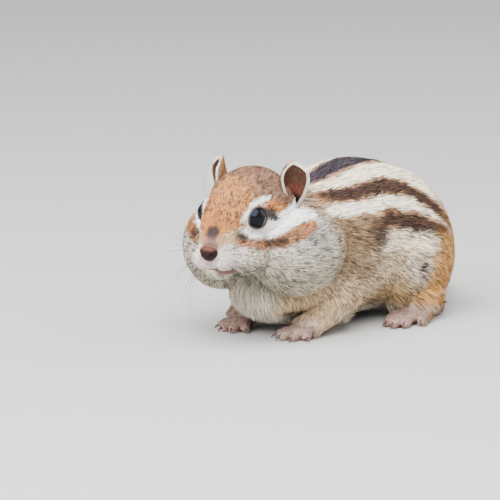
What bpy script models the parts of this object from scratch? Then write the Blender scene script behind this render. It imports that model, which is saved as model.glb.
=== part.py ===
"""A Siberian chipmunk with full cheek pouches, crouched on four feet, as a life-size still model.

The body is modelled whole from lofts and egg shapes, fused and smoothed, and then parted with thin
cuts into the pieces that a person would name. The solids have the outline of the coat, out to its tips.

Places are (left, back, up) in millimetres in the body's own frame: x is the animal's left, y runs
backwards from the tips of its fore toes, and z is the height over the floor. The last step moves
everything so that the middle of the box's underside is the origin.
"""

import math

import bmesh
import bpy
import numpy as np
from mathutils import Matrix, Vector

MM = 0.001

# Driving dimensions, in millimetres
CUT = 0.3                       # width of the thin cuts between the named pieces
FLOOR = 0.7                     # how much of each sole is cut away to leave it flat
BACK_HEIGHT = 53.5              # floor to the top of the hunched back
NOSE_TO_RUMP = 117.0            # straight length of the crouched body
EYE_HEIGHT = 43.0
EYE_RADIUS = 3.8
EYE_AT = (8.4, 1.3, -0.35)      # each eyeball's centre on the head, from between the eyes
EAR_HEIGHT = 14.6
EAR_HALF_WIDTH = 5.8            # measured round the curve, from the spine to one edge
EAR_WIDEST = 0.56               # how far up the ear it is widest
EAR_ROUNDNESS = 3.2             # how square the top of the ear's outline is
EAR_WALL = 1.1
EAR_LEAN = 6.0                  # outwards, in degrees
EAR_ROWS = 9
EAR_COLUMNS = 8
NOSE_AT = (0.0, -14.5, -8.7)
NOSE_RADII = (3.1, 2.2, 2.35)
TAIL_ROOT_AT = 79.0             # where the tail is parted from the rump
TAIL_CUTS_AT = {"tail_tip": -49.0, "tail_middle": -16.0}
HEAD_CUT_AT = -1.0              # where the head is parted from the neck
NECK_CUT_AT = 14.0              # where the neck is parted from the trunk
NECK_CUT_SLOPE = 14.0           # in degrees
CLAW_RADIUS = 0.55
CLAW_LENGTH = 2.0                # radius of the curve that a claw follows
CLAW_BEND = 1.2                 # how far round that curve it goes, in radians
CLAW_SIDES = 6
CLAW_START = 0.65               # ahead of the end of a toe, to stand clear of it

# Place and turn of the head, as measured between the eyes
HEAD_AT = np.array([2.0, -21.5, EYE_HEIGHT])
HEAD_YAW = 8.0
HEAD_PITCH = -7.0

# Fineness of the solids
BODY_VOXEL = 0.9
FOOT_VOXEL = 0.42
BODY_TRIANGLES = 1400
PAW_TRIANGLES = 230
FOOT_TRIANGLES = 320
EGG_FINENESS = {"segments": 28, "rings": 18}
CUTTER_FINENESS = {"segments": 12, "rings": 8}
FORELEG_MARGIN = 0.75           # how much larger than its form the cutter for a piece is
JAW_MARGIN = 0.7
EGG_MARGIN = 1.1
FORELEG_CUTTER_VOXEL = 1.0
FORELEG_CUTTER_TRIANGLES = 220
EYE_FINENESS = {"segments": 12, "rings": 8}

FUR_BROWN = (0.42, 0.27, 0.16)
FUR_PALE = (0.72, 0.64, 0.52)
FUR_BUFF = (0.60, 0.45, 0.29)
FUR_RUST = (0.50, 0.30, 0.14)
FUR_GREY = (0.40, 0.35, 0.30)
SKIN_PINK = (0.42, 0.24, 0.21)
NOSE_BROWN = (0.24, 0.11, 0.09)
EYE_BLACK = (0.006, 0.005, 0.005)
CLAW_HORN = (0.10, 0.07, 0.055)

SIDES = (("left", 1), ("right", -1))


def clear_scene():
    """Removes every object of the startup scene."""
    for obj in list(bpy.data.objects):
        bpy.data.objects.remove(obj)


def new_collection(name):
    collection = bpy.data.collections.new(name)
    bpy.context.scene.collection.children.link(collection)
    return collection


def unit(v):
    v = np.asarray(v, float)
    return v / np.linalg.norm(v, axis=-1, keepdims=True)


def turned(yaw=0.0, pitch=0.0, roll=0.0):
    """A turn matrix: roll about the body's long axis, pitch that lifts the front, then yaw to its left."""
    euler = (Matrix.Rotation(math.radians(yaw), 3, "Z")
             @ Matrix.Rotation(math.radians(-pitch), 3, "X")
             @ Matrix.Rotation(math.radians(roll), 3, "Y"))
    return np.array(euler)


def on_head(points):
    """Moves places given from between the eyes, along the head's own axes, into the body's frame."""
    return np.asarray(points, float) @ turned(HEAD_YAW, HEAD_PITCH).T + HEAD_AT


def smooth_run(rows, count):
    """Rows of stations joined by a smooth cubic run and read again at even steps along it."""
    rows = np.asarray(rows, float)
    gaps = np.linalg.norm(np.diff(rows[:, :3], axis=0), axis=1)
    at = np.concatenate([[0.0], np.cumsum(gaps)])
    slope = np.gradient(rows, at, axis=0)
    s = np.linspace(0.0, at[-1], count)
    i = np.clip(np.searchsorted(at, s, side="right") - 1, 0, len(at) - 2)
    h = (at[i + 1] - at[i])[:, None]
    t = (s - at[i])[:, None] / h
    start, end = rows[i], rows[i + 1]
    leave, arrive = slope[i] * h, slope[i + 1] * h
    return ((2 * t**3 - 3 * t**2 + 1) * start + (t**3 - 2 * t**2 + t) * leave
            + (-2 * t**3 + 3 * t**2) * end + (t**3 - t**2) * arrive)


def mesh_object(name, points, faces, collection):
    """An object from points in millimetres."""
    mesh = bpy.data.meshes.new(name)
    mesh.from_pydata((np.asarray(points) * MM).tolist(), [], faces)
    mesh.update()
    obj = bpy.data.objects.new(name, mesh)
    collection.objects.link(obj)
    return obj


def round_end(distance, reach):
    """The share of its full radius that a loft has this far from a round end."""
    share = np.clip(distance / reach, 0.0, 1.0)
    return np.sqrt(np.clip(1.0 - (1.0 - share) ** 2, 0.0, 1.0))


def loft(name, stations, collection, start=4.0, end=4.0, rings=24, around=24, squareness=2.0,
         side=(1.0, 0.0, 0.0), into=None, grow=0.0):
    """A closed loft between unlike oval sections.

    Each station is x, y, z, half width, height above and depth below. The run through them is smooth, and
    both ends are rounded over the given reach. A section is an oval whose two halves may differ, and
    a squareness over 2 makes it boxier. Grow makes the same shape larger on every side.
    """
    rows = np.array(stations, float)
    rows[:, 3:] += grow
    ends = rows[[0, -1], :3] - rows[[1, -2], :3]
    rows[[0, -1], :3] += grow * unit(ends)
    run = smooth_run(rows, rings)
    place, width, up, down = run[:, :3], run[:, 3], run[:, 4], run[:, 5]
    steps = np.linalg.norm(np.diff(place, axis=0), axis=1)
    length = np.concatenate([[0.0], np.cumsum(steps)])
    cap = round_end(length, start) * round_end(length[-1] - length, end)
    along = unit(np.gradient(place, axis=0))
    side = np.asarray(side, float)
    across = unit(side - (along @ side)[:, None] * along)
    above = np.cross(across, along)
    if above[:, 2].sum() < 0:
        above = -above
    turn = np.linspace(0.0, 2 * np.pi, around, endpoint=False)
    cosine = np.sign(np.cos(turn)) * np.abs(np.cos(turn)) ** (2 / squareness)
    sine = np.sign(np.sin(turn)) * np.abs(np.sin(turn)) ** (2 / squareness)
    height = np.where(sine > 0, up[:, None], down[:, None]) * sine
    reach = (width[:, None] * cosine)[..., None] * across[:, None] + height[..., None] * above[:, None]
    grid = (place[:, None] + cap[:, None, None] * reach)[1:-1]
    points = np.concatenate([place[:1], grid.reshape(-1, 3), place[-1:]])
    if into is not None:
        points = into(points)
    last = len(points) - 1
    faces = []
    for k in range(around):
        after = (k + 1) % around
        faces.append((0, 1 + k, 1 + after))
        base = 1 + (len(grid) - 1) * around
        faces.append((last, base + after, base + k))
        for ring in range(len(grid) - 1):
            low, high = 1 + ring * around, 1 + (ring + 1) * around
            faces.append((low + k, high + k, high + after, low + after))
    obj = mesh_object(name, points, faces, collection)
    face_outwards(obj)
    return obj


def face_outwards(obj):
    work = bmesh.new()
    work.from_mesh(obj.data)
    bmesh.ops.recalc_face_normals(work, faces=work.faces)
    work.to_mesh(obj.data)
    work.free()


def egg(name, centre, radii, collection, turn=None, segments=28, rings=18):
    """An egg: a sphere with its own radius along each of its three axes."""
    work = bmesh.new()
    bmesh.ops.create_uvsphere(work, u_segments=segments, v_segments=rings, radius=1.0)
    turn = np.eye(3) if turn is None else turn
    matrix = Matrix.Translation(Vector(np.asarray(centre, float) * MM))
    matrix = matrix @ Matrix(turn.tolist()).to_4x4() @ Matrix.Diagonal((*(np.asarray(radii) * MM), 1.0))
    bmesh.ops.transform(work, matrix=matrix, verts=work.verts)
    mesh = bpy.data.meshes.new(name)
    work.to_mesh(mesh)
    work.free()
    obj = bpy.data.objects.new(name, mesh)
    collection.objects.link(obj)
    return obj


def block(name, centre, sizes, collection, turn=None):
    """A box of the given full sizes, used as a cutter."""
    work = bmesh.new()
    bmesh.ops.create_cube(work, size=1.0)
    turn = np.eye(3) if turn is None else turn
    matrix = Matrix.Translation(Vector(np.asarray(centre, float) * MM))
    matrix = matrix @ Matrix(turn.tolist()).to_4x4() @ Matrix.Diagonal((*(np.asarray(sizes) * MM), 1.0))
    bmesh.ops.transform(work, matrix=matrix, verts=work.verts)
    mesh = bpy.data.meshes.new(name)
    work.to_mesh(mesh)
    work.free()
    obj = bpy.data.objects.new(name, mesh)
    collection.objects.link(obj)
    return obj


def settle(obj):
    """Applies an object's modifiers to its mesh."""
    graph = bpy.context.evaluated_depsgraph_get()
    mesh = bpy.data.meshes.new_from_object(obj.evaluated_get(graph))
    obj.modifiers.clear()
    obj.data = mesh
    return obj


def remove(*objects):
    for obj in objects:
        bpy.data.objects.remove(obj)


def fused(name, pieces, collection, voxel, rounds, triangles):
    """One smooth solid from overlapping pieces, with about this many triangles."""
    work = bmesh.new()
    for piece in pieces:
        work.from_mesh(piece.data)
    mesh = bpy.data.meshes.new(name)
    work.to_mesh(mesh)
    work.free()
    remove(*pieces)
    obj = bpy.data.objects.new(name, mesh)
    collection.objects.link(obj)
    remesh = obj.modifiers.new("fuse", "REMESH")
    remesh.mode = "VOXEL"
    remesh.voxel_size = voxel * MM
    smooth = obj.modifiers.new("blend", "SMOOTH")
    smooth.factor = 0.5
    smooth.iterations = rounds
    settle(obj)
    return coarsen(obj, triangles / triangles_in(obj))


def triangles_in(obj):
    return sum(len(p.vertices) - 2 for p in obj.data.polygons)


def coarsen(obj, share):
    """Keeps this share of a solid's triangles."""
    thin = obj.modifiers.new("coarsen", "DECIMATE")
    thin.ratio = min(1.0, share)
    thin.use_collapse_triangulate = True
    return settle(obj)


def carve(obj, cutter, operation="DIFFERENCE"):
    """Cuts obj by the cutter, or keeps only what lies inside it, and leaves it all triangles."""
    boolean = obj.modifiers.new("cut", "BOOLEAN")
    boolean.operation = operation
    boolean.object = cutter
    boolean.solver = "EXACT"
    settle(obj)
    work = bmesh.new()
    work.from_mesh(obj.data)
    bmesh.ops.triangulate(work, faces=work.faces)
    work.to_mesh(obj.data)
    work.free()
    return obj


def copied(obj, name, collection):
    twin = bpy.data.objects.new(name, obj.data.copy())
    collection.objects.link(twin)
    return twin


def grown(obj, gap, collection):
    """A copy pushed out along its normals, as a cutter that leaves a gap."""
    twin = copied(obj, obj.name + "_grown", collection)
    push = twin.modifiers.new("grow", "DISPLACE")
    push.mid_level = 0.0
    push.strength = gap * MM
    return settle(twin)


def keep_largest(obj):
    """Drops the crumbs that a cut may leave beside the piece."""
    work = bmesh.new()
    work.from_mesh(obj.data)
    unseen, islands = set(work.verts), []
    while unseen:
        island, edge = set(), [unseen.pop()]
        while edge:
            vert = edge.pop()
            island.add(vert)
            for link in vert.link_edges:
                other = link.other_vert(vert)
                if other in unseen:
                    unseen.discard(other)
                    edge.append(other)
        islands.append(island)
    largest = max(islands, key=len)
    loose = [v for v in work.verts if v not in largest]
    bmesh.ops.delete(work, geom=loose, context="VERTS")
    work.to_mesh(obj.data)
    work.free()
    return obj


def part_off(whole, name, region, collection):
    """Parts the piece inside a region from the whole by a thin cut. region(extra) makes the cutter."""
    inner = region(-CUT / 2)
    outer = region(CUT / 2)
    piece = carve(copied(whole, name, collection), inner, "INTERSECT")
    carve(whole, outer)
    remove(inner, outer)
    return keep_largest(piece)


def head_turn(yaw=0.0, pitch=0.0):
    return turned(HEAD_YAW, HEAD_PITCH) @ turned(yaw, pitch)


def trunk_form(cutters):
    """Neck, chest, hunched back and rump, which the coat makes one smooth barrel."""
    top = BACK_HEIGHT - 27.5
    return loft("trunk_form", [
        [1, -10, 36, 14, 13, 16],
        [1, -2, 34, 18, 15, 23],
        [0, 10, 31, 22, 17.5, 26.5],
        [0, 22, 29, 24, 20.5, 26],
        [0, 34, 28, 25.3, top - 2, 25.5],
        [0, 46, 27.5, 26.5, top - 0.4, 25],
        [0, 57, 26, 26.5, 24.0, 23],
        [0, 67, 22, 24, 20.5, 19],
        [0, 75, 18, 17, 14.0, 14],
        [0, NOSE_TO_RUMP - 36.5, 16, 8, 6, 7],
    ], cutters, start=8, end=5, rings=46, around=40, squareness=2.1)


def skull_form(cutters):
    """Muzzle, brow and crown, from the nose back to the nape."""
    return loft("skull_form", [
        [0, -14.6, -9.4, 2.6, 2.2, 2.4],
        [0, -12.0, -9.0, 4.6, 4.2, 4.6],
        [0, -8.5, -8.0, 6.6, 6.6, 7.0],
        [0, -4.0, -6.0, 8.4, 9.4, 8.6],
        [0, 1.0, -4.0, 10.2, 12.2, 10.5],
        [0, 7.0, -3.0, 12.8, 14.2, 12.5],
        [0, 13.0, -3.0, 14.0, 15.0, 13.5],
        [0, 19.0, -3.5, 14.0, 14.5, 13.5],
        [0, 25.0, -5.0, 12.5, 12.5, 12.0],
    ], cutters, start=2.5, end=8, rings=40, around=36, squareness=2.1, into=on_head)


def cheek_form(side, sign, cutters, extra=0.0, fineness=EGG_FINENESS):
    """A cheek pouch stuffed with food."""
    radii = np.array([12.6, 18.6, 14.0]) + extra
    return egg(f"cheek_form_{side}", on_head([sign * 14.0, 17.5, -15.5]), radii, cutters,
               head_turn(sign * -14, 4), **fineness)


def lip_form(side, sign, cutters):
    return egg(f"lip_form_{side}", on_head([sign * 3.4, -10.6, -11.4]), [3.9, 4.4, 3.5], cutters,
               turn=head_turn())


def lip_fold_form(side, sign, cutters):
    """The fold that joins the upper lip to the pouch."""
    return egg(f"lip_fold_form_{side}", on_head([sign * 7.4, -2.6, -11.6]), [5.0, 8.0, 6.0], cutters,
               turn=head_turn(sign * -24))


def jaw_form(cutters, extra=0.0, fineness=EGG_FINENESS):
    radii = np.array([5.0, 5.6, 3.6]) + extra
    return egg("jaw_form", on_head([0, -8.0, -14.4]), radii, cutters, head_turn(0, -8), **fineness)


def foreleg_form(side, sign, cutters, grow=0.0):
    """Shoulder, elbow and forearm down to the wrist and palm."""
    return loft(f"foreleg_form_{side}", [
        [sign * 15.0, 15.0, 24.0, 8.0, 8.5, 8.5],
        [sign * 16.6, 16.5, 14.5, 6.8, 7.2, 7.8],
        [sign * 16.0, 11.5, 9.2, 5.2, 5.4, 5.8],
        [sign * 14.0, 5.0, 5.4, 4.3, 3.6, 4.2],
        [sign * PAW_AT[0], 1.0, 3.0, 4.6, 2.5, 3.6],
        [sign * PAW_AT[0], -2.2, 2.4, 4.2, 1.8, 3.4],
    ], cutters, start=8, end=3, rings=30, around=24, grow=grow)


def foreleg_region(side, sign, cutters, extra):
    """The space that an upper foreleg takes, made larger by extra along its normals.

    The form bends so sharply at the elbow that its rings cross, and the fuse clears that away.
    """
    form = foreleg_form(side, sign, cutters, FORELEG_MARGIN)
    region = fused(f"foreleg_region_{side}", [form], cutters, FORELEG_CUTTER_VOXEL, 2,
                   FORELEG_CUTTER_TRIANGLES)
    larger = grown(region, extra, cutters)
    remove(region)
    return larger


def thigh_form(side, sign, cutters, extra=0.0, fineness=EGG_FINENESS):
    radii = np.array([11.5, 20.5, 20.0]) + extra
    return egg(f"thigh_form_{side}", [sign * 17.0, 56, 21.0], radii, cutters,
               turned(sign * 6, 22), **fineness)


def shank_form(side, sign, cutters):
    """The shin that lies under the thigh, down to the heel."""
    return loft(f"shank_form_{side}", [
        [sign * 22.0, 45, 10.0, 6.5, 7.5, 6.5],
        [sign * 22.5, 55, 7.5, 6.0, 6.0, 5.5],
        [sign * 22.0, 63, 5.0, 5.0, 4.5, 4.5],
    ], cutters, start=6, end=5, rings=20, around=20)


def tail_path():
    """The tail leaves the rump and lies curled to the right on the floor, at its real length."""
    return [
        [0, 72, 17, 6.5, 6.0, 6.0],
        [-1, 83, 13, 8.0, 6.0, 6.0],
        [-8, 94, 9.2, 10.0, 6.4, 6.4],
        [-20, 101, 7.4, 11.4, 6.8, 6.8],
        [-36, 103, 7.0, 12.0, 6.8, 6.8],
        [-52, 99, 7.0, 11.8, 6.6, 6.6],
        [-65, 90, 6.6, 9.6, 6.2, 6.2],
        [-72, 79, 5.4, 5.0, 4.4, 4.6],
    ]


def tail_form(cutters):
    return loft("tail_form", tail_path(), cutters, start=5, end=9, rings=60, around=24,
                side=(-0.3, 1.0, 0.0))


FORE_TOES = (  # across and forward of the paw's middle, for each toe's tip, from the inner one outwards
    (-6.2, 3.6),
    (-2.6, 6.4),
    (1.5, 6.0),
    (5.0, 2.6),
)
HIND_TOES = (
    (-5.6, 24.5),
    (-3.0, 30.4),
    (0.2, 31.6),
    (3.4, 29.8),
    (6.2, 23.6),
)
PAW_AT = np.array([12.6, 1.0])
HEEL_AT = np.array([21.4, 64.0])
FOOT_TURN_OUT = 9.0


def on_paw(sign, across, forward, up):
    """A place on a forefoot, from the middle of its palm."""
    return [sign * (PAW_AT[0] + across), PAW_AT[1] - forward, up]


def on_foot(sign, across, forward, up):
    """A place on a hind foot, from its heel, with the foot turned a little outwards."""
    angle = math.radians(FOOT_TURN_OUT)
    x = HEEL_AT[0] + across * math.cos(angle) + forward * math.sin(angle)
    y = HEEL_AT[1] + across * math.sin(angle) - forward * math.cos(angle)
    return [sign * x, y, up]


def fore_toe(side, sign, index, cutters):
    across, forward = FORE_TOES[index]
    root = (index - 1.5) * 2.0
    return loft(f"fore_toe_{side}_{index}", [
        [*on_paw(sign, root, -1.5, 3.0), 1.7, 1.5, 1.5],
        [*on_paw(sign, 0.45 * root + 0.55 * across, 0.55 * forward, 2.9), 1.35, 1.3, 2.4],
        [*on_paw(sign, across, forward, 1.4), 1.4, 1.6, 2.4],
    ], cutters, start=1.2, end=1.2, rings=14, around=14)


def hind_toe(side, sign, index, cutters):
    across, forward = HIND_TOES[index]
    root_across = (index - 2) * 1.9
    root = forward - 11.0
    return loft(f"hind_toe_{side}_{index}", [
        [*on_foot(sign, root_across, root, 3.0), 1.9, 1.8, 1.8],
        [*on_foot(sign, 0.5 * (root_across + across), 0.5 * (root + forward), 3.3), 1.5, 1.45, 1.5],
        [*on_foot(sign, across, forward, 1.8), 1.5, 1.5, 2.2],
    ], cutters, start=1.4, end=1.4, rings=14, around=14)


def metatarsus_form(side, sign, cutters):
    return loft(f"metatarsus_{side}", [
        [*on_foot(sign, 0, -2.0, 3.6), 3.6, 3.6, 3.6],
        [*on_foot(sign, 0, 8.0, 3.2), 3.9, 3.2, 3.2],
        [*on_foot(sign, 0, 18.0, 3.0), 4.9, 2.6, 3.0],
        [*on_foot(sign, 0, 23.0, 2.6), 4.8, 2.0, 2.6],
    ], cutters, start=3.5, end=3, rings=24, around=24)


def claw(name, end, ahead, collection):
    """A short curved claw that leaves a toe's end in the way ahead and bends down over it."""
    place, ahead = np.asarray(end, float), unit(ahead)
    up = np.array([0.0, 0.0, 1.0])
    across = unit(np.cross(ahead, up))
    turn = np.linspace(0.0, 2 * np.pi, CLAW_SIDES, endpoint=False)
    shares = (0.0, 0.5, 1.0)
    points = []
    for share in shares:
        bend = share * CLAW_BEND
        reach = CLAW_LENGTH * math.sin(bend)
        drop = 0.9 * CLAW_LENGTH * (1 - math.cos(bend))
        radius = CLAW_RADIUS * (1.0 - 0.6 * share)
        centre = place + ahead * reach + up * (0.55 - drop)
        rise = up * math.cos(bend) + ahead * math.sin(bend)
        for angle in turn:
            points.append(centre + radius * (0.85 * math.cos(angle) * across + math.sin(angle) * rise))
    last = CLAW_SIDES * (len(shares) - 1)
    faces = [tuple(range(CLAW_SIDES)), tuple(range(last, last + CLAW_SIDES))]
    for ring in range(len(shares) - 1):
        for k in range(CLAW_SIDES):
            low, after = ring * CLAW_SIDES, (k + 1) % CLAW_SIDES
            faces.append((low + k, low + after, low + CLAW_SIDES + after, low + CLAW_SIDES + k))
    obj = mesh_object(name, points, faces, collection)
    face_outwards(obj)
    return obj


def ear_sheet(side, sign, cutters):
    """A cupped leaf: rows go up from the base, columns across, and the edges come ahead of the spine."""
    rise = np.linspace(0.0, 1.0, EAR_ROWS)[:, None]
    across = np.linspace(-1.0, 1.0, EAR_COLUMNS)[None, :]
    over = np.clip((rise - EAR_WIDEST) / (1 - EAR_WIDEST), 0, 1)
    round_top = np.sqrt(1 - over ** EAR_ROUNDNESS)
    taper = 0.80 + 0.20 * np.sin(np.pi / 2 * np.clip(rise / EAR_WIDEST, 0, 1))
    half = np.maximum(EAR_HALF_WIDTH * np.where(rise > EAR_WIDEST, round_top, taper), 0.5)
    bend = np.radians(95 * (1 - rise) ** 1.2 + 55)
    x = half / bend * np.sin(bend * across)
    y = -half / bend * (1 - np.cos(bend * across)) + 2.6 * (rise - 0.5) ** 2
    z = EAR_HEIGHT * rise + 0 * across
    sheet = np.stack([x, y + 0 * z, z], -1).reshape(-1, 3)
    sheet = sheet @ turned(sign * 46, -10).T @ turned(0, 0, sign * EAR_LEAN).T
    sheet = on_head(sheet + np.array([sign * 10.3, 20.4, -1.6]))
    faces = []
    for i in range(EAR_ROWS - 1):
        for k in range(EAR_COLUMNS - 1):
            low = i * EAR_COLUMNS + k
            faces.append((low, low + 1, low + 1 + EAR_COLUMNS, low + EAR_COLUMNS))
    obj = mesh_object(f"ear_{side}", sheet, faces, cutters)
    wall = obj.modifiers.new("wall", "SOLIDIFY")
    wall.thickness = EAR_WALL * MM
    wall.offset = 0.0
    wall.use_even_offset = True
    settle(obj)
    face_outwards(obj)
    return obj


def give(obj, name, colour, roughness=0.8):
    material = bpy.data.materials.get(name) or bpy.data.materials.new(name)
    material.use_nodes = True
    shader = material.node_tree.nodes["Principled BSDF"]
    shader.inputs["Base Color"].default_value = (*colour, 1.0)
    shader.inputs["Roughness"].default_value = roughness
    shader.inputs["Metallic"].default_value = 0.0
    obj.data.materials.clear()
    obj.data.materials.append(material)
    obj.data.shade_smooth()
    obj.data.set_sharp_from_angle(angle=math.radians(35))


def feet(parts, cutters, floor):
    """Forefeet and hind feet with their toes, flat underneath where they stand, and their claws."""
    made = {}
    for side, sign in SIDES:
        toes = [fore_toe(side, sign, i, cutters) for i in range(len(FORE_TOES))]
        paw = fused(f"forepaw_{side}", [foreleg_form(side, sign, cutters), *toes], parts,
                    FOOT_VOXEL, 2, 10 * PAW_TRIANGLES)
        carve(paw, wrist_block(side, sign, cutters), "INTERSECT")
        toes = [hind_toe(side, sign, i, cutters) for i in range(len(HIND_TOES))]
        foot = fused(f"hindfoot_{side}", [metatarsus_form(side, sign, cutters), *toes], parts,
                     FOOT_VOXEL, 2, 10 * FOOT_TRIANGLES)
        for obj, budget in ((paw, PAW_TRIANGLES), (foot, FOOT_TRIANGLES)):
            keep_largest(obj)
            coarsen(obj, budget / triangles_in(obj))
            carve(obj, floor)
            keep_largest(obj)
            made[obj.name] = obj
        claws(side, sign, parts, made)
    return made


def claws(side, sign, parts, made):
    jobs = []
    for i, (across, forward) in enumerate(FORE_TOES):
        end = on_paw(sign, across, forward, 1.7)
        root = on_paw(sign, 0.3 * across, 0.3 * forward, 1.7)
        jobs.append((f"fore_claw_{side}_{i + 1}", end, root))
    for i, (across, forward) in enumerate(HIND_TOES):
        end = on_foot(sign, across, forward, 2.0)
        root = on_foot(sign, 0.75 * across, forward - 6.0, 2.0)
        jobs.append((f"hind_claw_{side}_{i + 1}", end, root))
    for name, end, root in jobs:
        ahead = unit(np.array(end) - np.array(root))
        made[name] = claw(name, np.array(end) + CLAW_START * ahead, ahead, parts)


def wrist_block(side, sign, cutters):
    """The space that a forefoot takes, below and ahead of the wrist."""
    return block(f"wrist_{side}", [sign * 13.6, -6.4, 2.0], [26, 24, 13], cutters, turned(0, -24))


def neck_block(cutters, front, extra):
    """Everything ahead of a sloping plane across the neck, down to just over the forelegs."""
    depth = 70.0
    turn = turned(0, NECK_CUT_SLOPE)
    centre = np.array([0.0, front, 34.0]) - turn @ np.array([0.0, depth / 2, 0.0])
    sizes = [90 + 2 * extra, depth + 2 * extra, 90 + 2 * extra]
    return block("neck_cut", centre, sizes, cutters, turn=turn)


def tail_block(cutters, behind, extra):
    """Everything behind an upright plane across the tail's root."""
    sizes = [220 + 2 * extra, 80 + 2 * extra, 80 + 2 * extra]
    return block("tail_cut", [0, behind + 40, 20], sizes, cutters)


def tail_length_block(cutters, x, extra):
    """Everything on the tail's far side of a plane that stands across it."""
    return block("tail_length_cut", [x - 50, 90, 10], [100 + 2 * extra, 90, 60], cutters)


def body(parts, cutters, floor, paws_and_feet):
    """The whole body, parted into the pieces that a person would name."""
    forms = [trunk_form(cutters), skull_form(cutters), jaw_form(cutters), tail_form(cutters)]
    for side, sign in SIDES:
        forms += [
            cheek_form(side, sign, cutters),
            lip_form(side, sign, cutters),
            lip_fold_form(side, sign, cutters),
            foreleg_form(side, sign, cutters),
            thigh_form(side, sign, cutters),
            shank_form(side, sign, cutters),
        ]
    whole = fused("trunk", forms, parts, BODY_VOXEL, 6, BODY_TRIANGLES)
    carve(whole, floor)
    made = {"trunk": whole}
    add_ears(whole, parts, cutters, made)
    set_in(whole, "nose", on_head(NOSE_AT), NOSE_RADII, parts, cutters, made)
    for side, sign in SIDES:
        centre = on_head([sign * EYE_AT[0], EYE_AT[1], EYE_AT[2]])
        set_in(whole, f"eye_{side}", centre, [EYE_RADIUS] * 3, parts, cutters, made)
        for piece in (f"forepaw_{side}", f"hindfoot_{side}"):
            carve_and_remove(whole, grown(paws_and_feet[piece], CUT, cutters))
            keep_largest(whole)
    part_the_body(whole, parts, cutters, made)
    keep_largest(whole)
    return made


def part_the_body(whole, parts, cutters, made):
    """Cuts the whole body into its pieces, from the jaw back to the tip of the tail."""
    def jaw(extra):
        return jaw_form(cutters, extra + JAW_MARGIN, CUTTER_FINENESS)

    made["jaw"] = part_off(whole, "jaw", jaw, parts)
    for side, sign in SIDES:
        def cheek(extra):
            return cheek_form(side, sign, cutters, extra + EGG_MARGIN, CUTTER_FINENESS)

        def foreleg(extra):
            return foreleg_region(side, sign, cutters, extra)

        def thigh(extra):
            return thigh_form(side, sign, cutters, extra + EGG_MARGIN, CUTTER_FINENESS)

        for name, region in (("cheek_pouch", cheek), ("foreleg", foreleg), ("thigh", thigh)):
            made[f"{name}_{side}"] = part_off(whole, f"{name}_{side}", region, parts)

    def tail(extra):
        return tail_block(cutters, TAIL_ROOT_AT, extra)

    def head(extra):
        return neck_block(cutters, HEAD_CUT_AT, extra)

    def neck(extra):
        return neck_block(cutters, NECK_CUT_AT, extra)

    for name, region in (("tail_base", tail), ("head", head), ("neck", neck)):
        made[name] = part_off(whole, name, region, parts)
    for name, x in TAIL_CUTS_AT.items():
        def far_side(extra):
            return tail_length_block(cutters, x, extra)

        made[name] = part_off(made["tail_base"], name, far_side, parts)


def carve_and_remove(obj, cutter):
    carve(obj, cutter)
    remove(cutter)


def set_in(whole, name, centre, radii, parts, cutters, made):
    """An egg that sits in a socket of its own shape, as an eye or the nose pad does."""
    turn = head_turn()
    carve_and_remove(whole, egg("socket", centre, np.asarray(radii) + CUT, cutters, turn, **EYE_FINENESS))
    made[name] = egg(name, centre, radii, parts, turn, **EYE_FINENESS)


def add_ears(whole, parts, cutters, made):
    for side, sign in SIDES:
        ear = ear_sheet(side, sign, parts)
        carve_and_remove(ear, grown(whole, CUT, cutters))
        made[ear.name] = keep_largest(ear)


def stand_on_origin(objects):
    """Moves every mesh so that the middle of the whole box's underside is the origin."""
    points = np.concatenate([[v.co for v in obj.data.vertices] for obj in objects])
    low, high = points.min(axis=0), points.max(axis=0)
    shift = Matrix.Translation((-(low[0] + high[0]) / 2, -(low[1] + high[1]) / 2, -low[2]))
    for obj in objects:
        obj.data.transform(shift)


def finish_of(name):
    if name.startswith("eye"):
        return "eye", EYE_BLACK, 0.05
    if "claw" in name:
        return "claw", CLAW_HORN, 0.4
    if name == "nose":
        return "nose", NOSE_BROWN, 0.45
    if name.startswith(("forepaw", "hindfoot")):
        return "foot", SKIN_PINK, 0.6
    if name.startswith("ear"):
        return "ear", FUR_BROWN, 0.8
    if name.startswith("tail"):
        return "tail", FUR_GREY, 0.9
    if name.startswith(("cheek", "jaw")):
        return "cheek", FUR_PALE, 0.9
    if name.startswith("foreleg"):
        return "leg", FUR_BUFF, 0.9
    if name.startswith("thigh"):
        return "thigh", FUR_RUST, 0.9
    return "coat", FUR_BROWN, 0.9


def build():
    clear_scene()
    parts = new_collection("chipmunk")
    cutters = new_collection("cutters")
    floor = block("floor_cut", [0, 40, FLOOR - 20], [400, 400, 40], cutters)
    made = feet(parts, cutters, floor)
    made.update(body(parts, cutters, floor, made))
    for obj in list(cutters.objects):
        remove(obj)
    bpy.data.collections.remove(cutters)
    for name, obj in made.items():
        give(obj, *finish_of(name))
    stand_on_origin(list(made.values()))


build()
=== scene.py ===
# %% [markdown]
# # A Siberian chipmunk with full cheek pouches
# The solids of the CAD model carry the animal's size and stance. This lesson gives them their looks: one
# skin without a seam, wet black eyes, cupped ears, whiskers, claws, and a coat of several hundred thousand
# fine tufts.

# %% Load the frame
import math

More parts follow.
